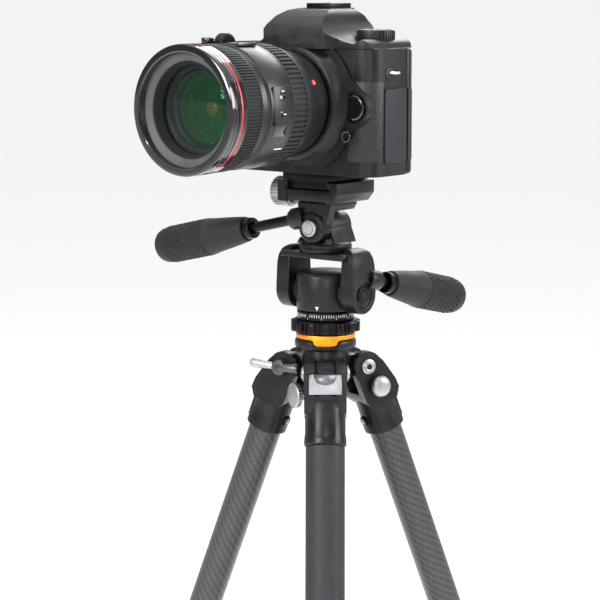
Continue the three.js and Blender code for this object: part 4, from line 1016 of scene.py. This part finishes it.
def handle(name, place, nose, rod_body, grip_body, rod_node, grip_node):
    """A rod, a black collar, a smooth cone and a grip with a criss-cross moulded face."""
    axis = place @ to_y
    give(turned(name + "_rod", [(0, 0), (3.75, 0), (3.75, nose + 30), (0, nose + 30)], axis, 32, 0),
         black_metal, rod_body, rod_node)
    start = nose + 6
    full = start + 35
    end = full + 47
    give(turned(name + "_collar",
                [(4.1, nose), (6.8, nose), (7.5, nose + 0.7), (7.5, start), (4.1, start), (4.1, nose)],
                axis, 48, 0.15), black_metal, grip_body)
    shape = [(4.1, start + 0.1), (8.0, start + 0.1), (8.7, start + 0.8)]
    for step in range(1, 12):
        share = step / 12
        eased = share ** 0.86
        shape.append((8.7 + (12.5 - 8.7) * eased, start + 0.8 + (full - 3.4 - start - 0.8) * share))
    shape += [(12.6, full - 3.2), (12.9, full - 2.2), (12.9, full - 0.9), (12.35, full - 0.6),
              (12.35, full - 0.1), (12.8, full + 0.2), (12.8, end - 9), (12.5, end - 6), (11.6, end - 3.2),
              (10.2, end - 1.3), (8.2, end - 0.2), (6, end), (0, end)]
    grip = turned(name + "_sleeve", shape + [(0, end - 20), (4.1, end - 20), (4.1, start + 0.1)], axis, 64,
                  0)
    soften(grip, 0.15, 2, 40)
    give(grip, soft_rubber, grip_body, grip_node)
    studs = []
    pitch = 3.35
    rows = int((end - 7.5 - full - 1) / pitch)
    for row in range(rows):
        height = full + 1.8 + pitch * row
        stud = block("stud", (12.5, -1.05, height - 1.1), (13.3, 1.05, height + 1.1), axis, 0.35, 1)
        studs.append(ring_of("stud_row", stud, 24, axis, 7.5 * (row % 2)))
    give(join(name + "_studs", studs), soft_rubber, grip_body)


handle("roll_handle", roll_handle, 42, "roll", "roll_grip", "roll_rod", "roll_grip")
handle("tilt_handle", tilt_handle, 23, "tilt", "tilt_grip", "tilt_rod", "tilt_grip")


# ---------------------------------------------------------------- top of the tripod

def facing(azimuth):
    """The work frame turned so that its -Y side faces an azimuth."""
    return upright @ Matrix.Rotation(math.radians(azimuth), 4, "Z") @ Matrix.Translation(-origin)


xz_front = facing(front_leg_azimuth) @ planar("xz")
disc = turned("top_plate_disc",
              [(0, -115.2), (19.4, -115.2), (20.3, -114.4), (20.3, -112.0), (19.6, -111.4), (0, -111.4)],
              upright, 80, 0.15)
tab = outline("top_plate_tab", [(-12.5, -111.5), (12.5, -111.5), (11.4, -113.4), (8.6, -115.2),
                                (7.6, -117.6), (5.6, -118.5), (-5.6, -118.5), (-7.6, -117.6),
                                (-8.6, -115.2), (-11.4, -113.4)], 16.2, 22, xz_front, 0)
tab = cut(tab, turned("tab_round", [(0, -120), (21.35, -120), (21.35, -110), (0, -110)], upright, 96, 0),
          "INTERSECT")
soften(tab, 0.35, 2)
give(join("top_plate_finished", [disc, tab]), orange, "column", "top_plate")
give(turned("center_column_tube",
            [(10.4, -445.3), (11.6, -445.3), (12, -444.8), (12, -115.7), (10.4, -115.7), (10.4, -445.3)],
            upright, 64, 0), black_metal, "column", "center_column")
give(turned("column_end",
            [(0, -446.2), (7, -446.2), (8, -445.6), (8, -445.4), (10.3, -445.2), (10.3, -437), (0, -437)],
            upright, 48, 0.3), soft_rubber, "column")

collar = turned("spider_collar", [(12.3, -122.2), (19.6, -122.2), (20.6, -121.6), (21.2, -120.2),
                                  (21.25, -117.4), (20.8, -116.1), (19.9, -115.6), (12.3, -115.6),
                                  (12.3, -122.2)], upright, 96, 0)
notch = outline("tab_notch", [(-14, -115), (14, -115), (12.0, -115.7), (9.2, -117.0), (8.1, -118.9),
                              (-8.1, -118.9), (-9.2, -117.0), (-12.0, -115.7)], 16.0, 24, xz_front, 0)
collar = cut(collar, notch)
soften(collar, 0.35, 2, 40)
give(collar, casting, "base")
give(turned("spider_hub", [(12.3, -162), (14.0, -162), (14.5, -161.4), (14.5, -148.6), (16, -148),
                           (16, -122), (12.3, -122), (12.3, -162)], upright, 72, 0.3), casting, "base",
     "spider")
for number in range(3):
    turn = facing(front_leg_azimuth + 120 * number)
    web = block("arm_web", (-7, -24, -144), (7, -13, -128), turn @ upright, 0.6, 2)
    knuckle_place = (turn @ Matrix.Translation(work(0, -hinge_radius, -hinge_drop))
                     @ Matrix.Rotation(math.pi / 2, 4, "Y"))
    knuckle = turned("arm_knuckle", [(0, -7), (8, -7), (8, 7), (0, 7)], knuckle_place, 48, 0.6)
    rib = block("arm_rib", (-5.6, -30.4, -130.4), (5.6, -20, -128.6), turn @ upright, 0.4)
    give(join(f"spider_arm_{number + 1}", [web, knuckle, rib]), casting, "base")
    give(turned(f"hinge_pin_{number + 1}", [(0, -14.6), (3.2, -14.6), (3.2, 14.6), (0, 14.6)],
                knuckle_place, 32, 0.2), black_metal, "base")
    for side, letter in ((1, "a"), (-1, "b")):
        if number == 2 and side > 0:        # the column lever sits on this end of the pin
            continue
        head_place = knuckle_place @ Matrix.Scale(side, 4, (0, 0, 1))
        bolt = turned(f"hinge_bolt_{number + 1}_{letter}",
                      [(2.0, 14.5), (5.1, 14.5), (5.4, 14.9), (5.2, 15.5), (3.9, 15.7), (3.4, 16.5),
                       (2.7, 16.6), (2.0, 16.2), (2.0, 14.5)], head_place, 36, 0.1)
        outward(bolt)
        give(bolt, silver, "base")
        # The bolt's hexagonal socket is filled with a flat black hexagon: painted shade in the recess.
        hollow = turned(f"hinge_socket_{number + 1}_{letter}", [
            (0, 14.4), (2.2, 14.4), (2.2, 15.7), (0, 15.7)], head_place, 6, 0)
        outward(hollow)
        give(hollow, dead_black_and_painted_shade, "base")

# Clamp screw of the centre column: a thin ribbed silver disc on a neck.
screw_place = facing(front_leg_azimuth - 60) @ along((0, -1, 0), (0, 0, -154))
clamp_disc = turned("column_clamp_disc", [(0, 13), (2.6, 13), (2.6, 16.4), (3.6, 16.8), (3.6, 21.6),
                                          (7.4, 22), (8.2, 22.6), (8.2, 25.4), (7.4, 26), (4, 26.2),
                                          (0, 26.4)], screw_place, 48, 0.15)
disc_rib = block("disc_rib", (7.6, -0.4, 22.3), (8.55, 0.4, 25.7), screw_place, 0.2, 1)
give(join("column_clamp_finished", [clamp_disc, ring_of("disc_ribs", disc_rib, 28, screw_place)]), silver,
     "column_clamp_knob", "column_clamp_knob")

# Lever on the third leg's hinge: a clevis with a hexagonal eye and a round silver handle.
lever_turn = facing(front_leg_azimuth + 240)
lever_axis = lever_turn @ along((1, 0, 0), (0, -hinge_radius, -hinge_drop))
lever_hub = turned("lever_hub", [(0, 15.0), (4.6, 15.0), (5.4, 15.6), (5.4, 20.4), (4.8, 21), (0, 21)],
                   lever_axis, 40, 0.15)
lever_inner = turned("lever_inner", [(0, 0), (3.3, 0), (3.3, 14), (2.7, 16), (0, 16)],
                     lever_turn @ along((0, 1, 0), (18.2, -27, -hinge_drop)), 32, 0.2)
lever_outer = turned("lever_outer",
                     [(0, 0), (2.4, 0), (2.6, 8), (3.1, 15), (3.1, 20.2), (2.6, 21), (0, 21.1)],
                     lever_turn @ along((0, -0.998, 0.06), (18.0, -28, -135.8)), 32, 0.2)
give(join("column_lever_finished", [lever_hub, lever_inner]), lever_metal, "column_lever", "column_lever")
give(lever_outer, silver, "column_lever")
# The hexagonal eye is a flat black hexagon on the hub: painted shade in the recess.
give(turned("lever_eye", [(0, 20.6), (2.3, 20.6), (2.3, 21.12), (0, 21.12)], lever_axis, 6, 0), dead_black_and_painted_shade,
     "column_lever")

# Round plug of the accessory thread on the second leg's casting.
plug_place = facing(front_leg_azimuth + 120) @ along((-1, 0, 0), (0, -34, -150))
give(turned("accessory_plug", [(0, 14.7), (4, 14.7), (4, 16.2), (6.6, 16.6), (7.4, 17.4), (7.5, 18.6),
                               (7.0, 19.9), (5.8, 20.9), (4, 21.5), (2, 21.75), (0, 21.8)], plug_place, 64,
            0), silver, "shoulder_knob", "shoulder_knob")


# ---------------------------------------------------------------- legs

for number in (1, 2, 3):
    frame_of_leg = leg_frame(number)
    leg = f"leg_{number}"
    upper = f"{leg}_upper"
    xz = frame_of_leg @ Matrix(((1, 0, 0, 0), (0, 0, -1, 0), (0, 1, 0, 0), (0, 0, 0, 1)))
    yz = frame_of_leg @ Matrix(((0, 0, 1, 0), (1, 0, 0, 0), (0, 1, 0, 0), (0, 0, 0, 1)))
    tube_place = frame_of_leg @ Matrix.Translation((tube_offset * MM, 0, 0))

    # Shoulder casting: round cheeks stepped on top, a socket that flares to a lip, a raised shield in front.
    cheek = (arc(0, 0, 10.5, 20, 180, 20)
             + [(-10.3, -10), (-10.1, -24), (-6, -30), (14, -30), (17.9, -24), (17.3, -17), (14.6, -8),
                (12.4, -1)])
    shoulder = outline(f"{leg}_shoulder", cheek, -14.3, 14.3, xz, 0)
    waist = turned("waist", [(0, -51), (13.6, -51), (14.3, -50.4), (14.3, -46), (13.7, -42), (13.7, -24),
                             (14.2, -18.5), (0, -18.5)],
                   tube_place, 64, 0)
    shoulder = cut(shoulder, waist, "UNION")
    shoulder = cut(shoulder, block("slot", (-40, -7.3, -19), (40, 7.3, 40), frame_of_leg, 0))
    shoulder = cut(shoulder, block("stop_room", (10.0, -11.5, -18.1), (40, 11.5, -2.9), frame_of_leg, 0))
    shoulder = cut(shoulder,
                   turned("tube_room", [(0, -60), (11.8, -60), (11.8, -22), (0, -22)], tube_place, 64, 0))
    soften(shoulder, 1.0, 3, 34)
    give(shoulder, casting, upper, f"{leg}_bracket")
    shield = outline("shield", [(-8.6, -23.2), (8.6, -23.2), (9.2, -25), (8.7, -32), (6.6, -47),
                                (-6.6, -47), (-8.7, -32), (-9.2, -25)], 0, 30, yz, 0)
    shell = turned("shield_shell", [(13.2, -50), (14.9, -50), (14.9, -22), (13.2, -22), (13.2, -50)],
                   tube_place, 96, 0)
    shield = cut(shield, shell, "INTERSECT")
    shield.name = shield.data.name = f"{leg}_shield"
    soften(shield, 0.55, 3, 40)
    give(shield, casting, upper)
    # The arc notch is a thin flat black plate on the casting: painted shade in the notch.
    give(outline(f"{leg}_arc_notch_shade", [(-7.5, -22.1), (7.5, -22.1), (6.4, -20.2), (4, -18.7), (0, -18.1),
                                      (-4, -18.7), (-6.4, -20.2)], 17.4, 18.5, yz, 0.1), dead_black_and_painted_shade, upper)
    for side, letter in ((1, "a"), (-1, "b")):
        for step in range(3):
            ridge_place = frame_of_leg @ Matrix.Rotation(math.radians(-18 - 24 * step), 4, "Y")
            give(block(f"{leg}_ridge_{letter}{step}", (-1.6, side * 10.8 - 3.1, 9.6),
                       (1.6, side * 10.8 + 3.1, 11.2), ridge_place, 0.4), casting, upper)
    bolt_place = tube_place @ Matrix.Translation(Vector((0, 0, -41)) * MM)
    inwards = bolt_place @ Matrix.Rotation(math.pi, 4, "Z") @ Matrix.Rotation(math.pi / 2, 4, "Y")
    # The black ring round the silver screw is painted shade in the screw's well.
    give(turned(f"{leg}_screw_well_shade", [(0, 13.6), (3.9, 13.6), (3.9, 14.5), (3.2, 14.9), (0, 14.7)], inwards,
                32, 0.1), black_metal, upper)
    give(turned(f"{leg}_socket_screw", [(0, 14.5), (1.9, 14.5), (1.9, 15.0), (1.2, 15.3), (0, 15.2)],
                inwards, 24, 0.1), silver, upper)

    refined(f"{leg}_angle_stop", silver, 0.7, 3)
    # The scoop is a thin sheet of darker metal on the stop's face, not a hollow: painted shade in the scoop.
    scoop = outline(f"{leg}_stop_scoop", arc(0, -2.6, 8.2, 180, 360, 14), 12.2, 16.2, yz, 0)
    stop_face = outline("stop_face", [(12.66, -3.2), (12.95, -3.2), (17.1, -17.8), (16.8, -17.8)], -12, 12,
                        xz, 0)
    scoop = cut(scoop, stop_face, "INTERSECT")
    give(scoop, blasted_metal(f"{leg}_scoop_painted_shade", "#737578", 0.46), f"{leg}_angle_stop")

    tubes = (("upper", upper_radius, 22.3, 436), ("middle", middle_radius, 60, 474),
             ("lower", lower_radius, 75, 500))
    for part, radius, top_end, low_end in tubes:
        inner = radius - tube_wall
        give(turned(f"{leg}_{part}_carbon", [(inner, -low_end), (radius, -low_end), (radius, -top_end),
                                             (inner, -top_end), (inner, -low_end)], tube_place, 64, 0),
             carbon[number], f"{leg}_{part}", f"{leg}_{part}_tube")
    foot = turned("foot", [(0, -524), (6.4, -524), (7.4, -522.6), (10.2, -519.2), (11, -517.4), (11, -504),
                           (10.6, -502.6), (9.9, -500.4), (9.6, -496), (8.1, -496), (8.1, -499), (0, -499)],
                  tube_place, 64, 0.3)
    tread = frame_of_leg @ Vector((tube_offset * MM, 0, -519.8 * MM))
    foot = cut(foot,
               block("level", (-60, -60, -40), (60, 60, 0), Matrix.Translation((tread.x, tread.y, 0)), 0))
    foot.name = foot.data.name = f"{leg}_rubber_foot"
    give(foot, soft_rubber, f"{leg}_lower")

    locks = (("upper_lock", 15.2, -446, middle_radius, 38), ("lower_lock", 13.45, -484, lower_radius, 34))
    for part, outer, low_end, inner_tube, reach in locks:
        top_end = low_end + reach
        core = turned("lock_core", [(inner_tube + 0.3, low_end), (outer - 1.5, low_end),
                                    (outer - 0.3, low_end + 1.2), (outer, low_end + 2.4),
                                    (outer - 0.9, low_end + 4), (outer - 0.9, top_end - 8),
                                    (outer, top_end - 6.5), (outer - 0.2, top_end - 5),
                                    (outer - 2.1, top_end), (outer - 3.2, top_end),
                                    (outer - 3.2, low_end + 11), (inner_tube + 0.3, low_end + 9),
                                    (inner_tube + 0.3, low_end)], tube_place, 64, 0)
        rib = block("lock_rib", (outer - 1.1, -0.9, low_end + 3), (outer + 0.05, 0.9, top_end - 7),
                    tube_place, 0.4, 2)
        ribs = ring_of("lock_ribs", rib, 20, tube_place)
        give(join(f"{leg}_{part}_finished", [core, ribs]), soft_rubber, f"{leg}_{part}", f"{leg}_{part}")
    if number == 1:
        sleeve = turned("leg_1_sleeve_finished", [(11.8, -301.3), (12.9, -301.3), (13.25, -300.7),
                                                  (13.25, -51.9), (12.9, -51.3), (11.8, -51.3),
                                                  (11.8, -301.3)], tube_place, 96, 0)
        soften(sleeve, 0, 1, 40)
        give(sleeve, sleeve_rubber, upper, "leg_1_sleeve")


# ---------------------------------------------------------------- studio

floor_material = surface("pale_floor", "#f4f4f3", 0.9)[0]
clear()
bpy.ops.mesh.primitive_plane_add(size=240, location=(origin.x, origin.y, 0))
floor = bpy.context.object
floor.name = "floor"
floor.data.materials.append(floor_material)

world = bpy.data.worlds.new("studio")
bpy.context.scene.world = world
world.use_nodes = True
world.node_tree.nodes["Background"].inputs["Color"].default_value = colour("#f6f8fb")
world.node_tree.nodes["Background"].inputs["Strength"].default_value = 0.3

# The view looks straight at the front leg.
view_azimuth = math.radians(front_leg_azimuth)
toward = Vector((math.sin(view_azimuth), -math.cos(view_azimuth), 0))
rightward = Vector((math.cos(view_azimuth), math.sin(view_azimuth), 0))


def softbox(name, right, forward, up, size, power, aim=(0, 0, 30)):
    """A square lamp: metres to the viewer's right, towards the viewer and above the camera's underside."""
    clear()
    place = origin + rightward * right + toward * forward + Vector((0, 0, up))
    bpy.ops.object.light_add(type="AREA", location=place)
    lamp = bpy.context.object
    lamp.name = name
    lamp.data.size = size
    lamp.data.energy = power
    lamp.rotation_mode = "QUATERNION"
    lamp.rotation_quaternion = (work(*aim) - place).to_track_quat("-Z", "Y")
    return lamp


softbox("top_softbox", -0.15, 0.1, 1.25, 0.9, 19)
softbox("left_softbox", -1.0, 1.1, 0.5, 0.6, 27)
softbox("front_softbox", 0.15, 2.1, 0.3, 0.5, 11, (0, 0, -150))
softbox("right_softbox", 1.3, 0.25, 0.45, 0.7, 20)
softbox("rear_softbox", 0.4, -1.3, 0.9, 0.9, 16)

bpy.ops.object.light_add(type="SUN", location=work(0, 0, 900))
sun = bpy.context.object
sun.name = "ceiling_bounce"
sun.data.energy = 2.3
sun.data.angle = math.radians(120)

eye_height = 134
eye_distance = 1500
aim_height = -89.4
aim_left = 17.6
eye = work(0, 0, eye_height) + toward * eye_distance * MM
aim = work(0, 0, aim_height) - rightward * aim_left * MM
bpy.ops.object.camera_add(location=eye)
camera = bpy.context.object
camera.name = "photo_camera"
camera.rotation_mode = "QUATERNION"
camera.rotation_quaternion = (aim - eye).to_track_quat("-Z", "Y")
camera.data.sensor_width = 36
camera.data.lens = 132
camera.data.clip_start = 0.05
camera.data.clip_end = 400
bpy.context.scene.camera = camera
bpy.context.scene.view_settings.view_transform = "Standard"
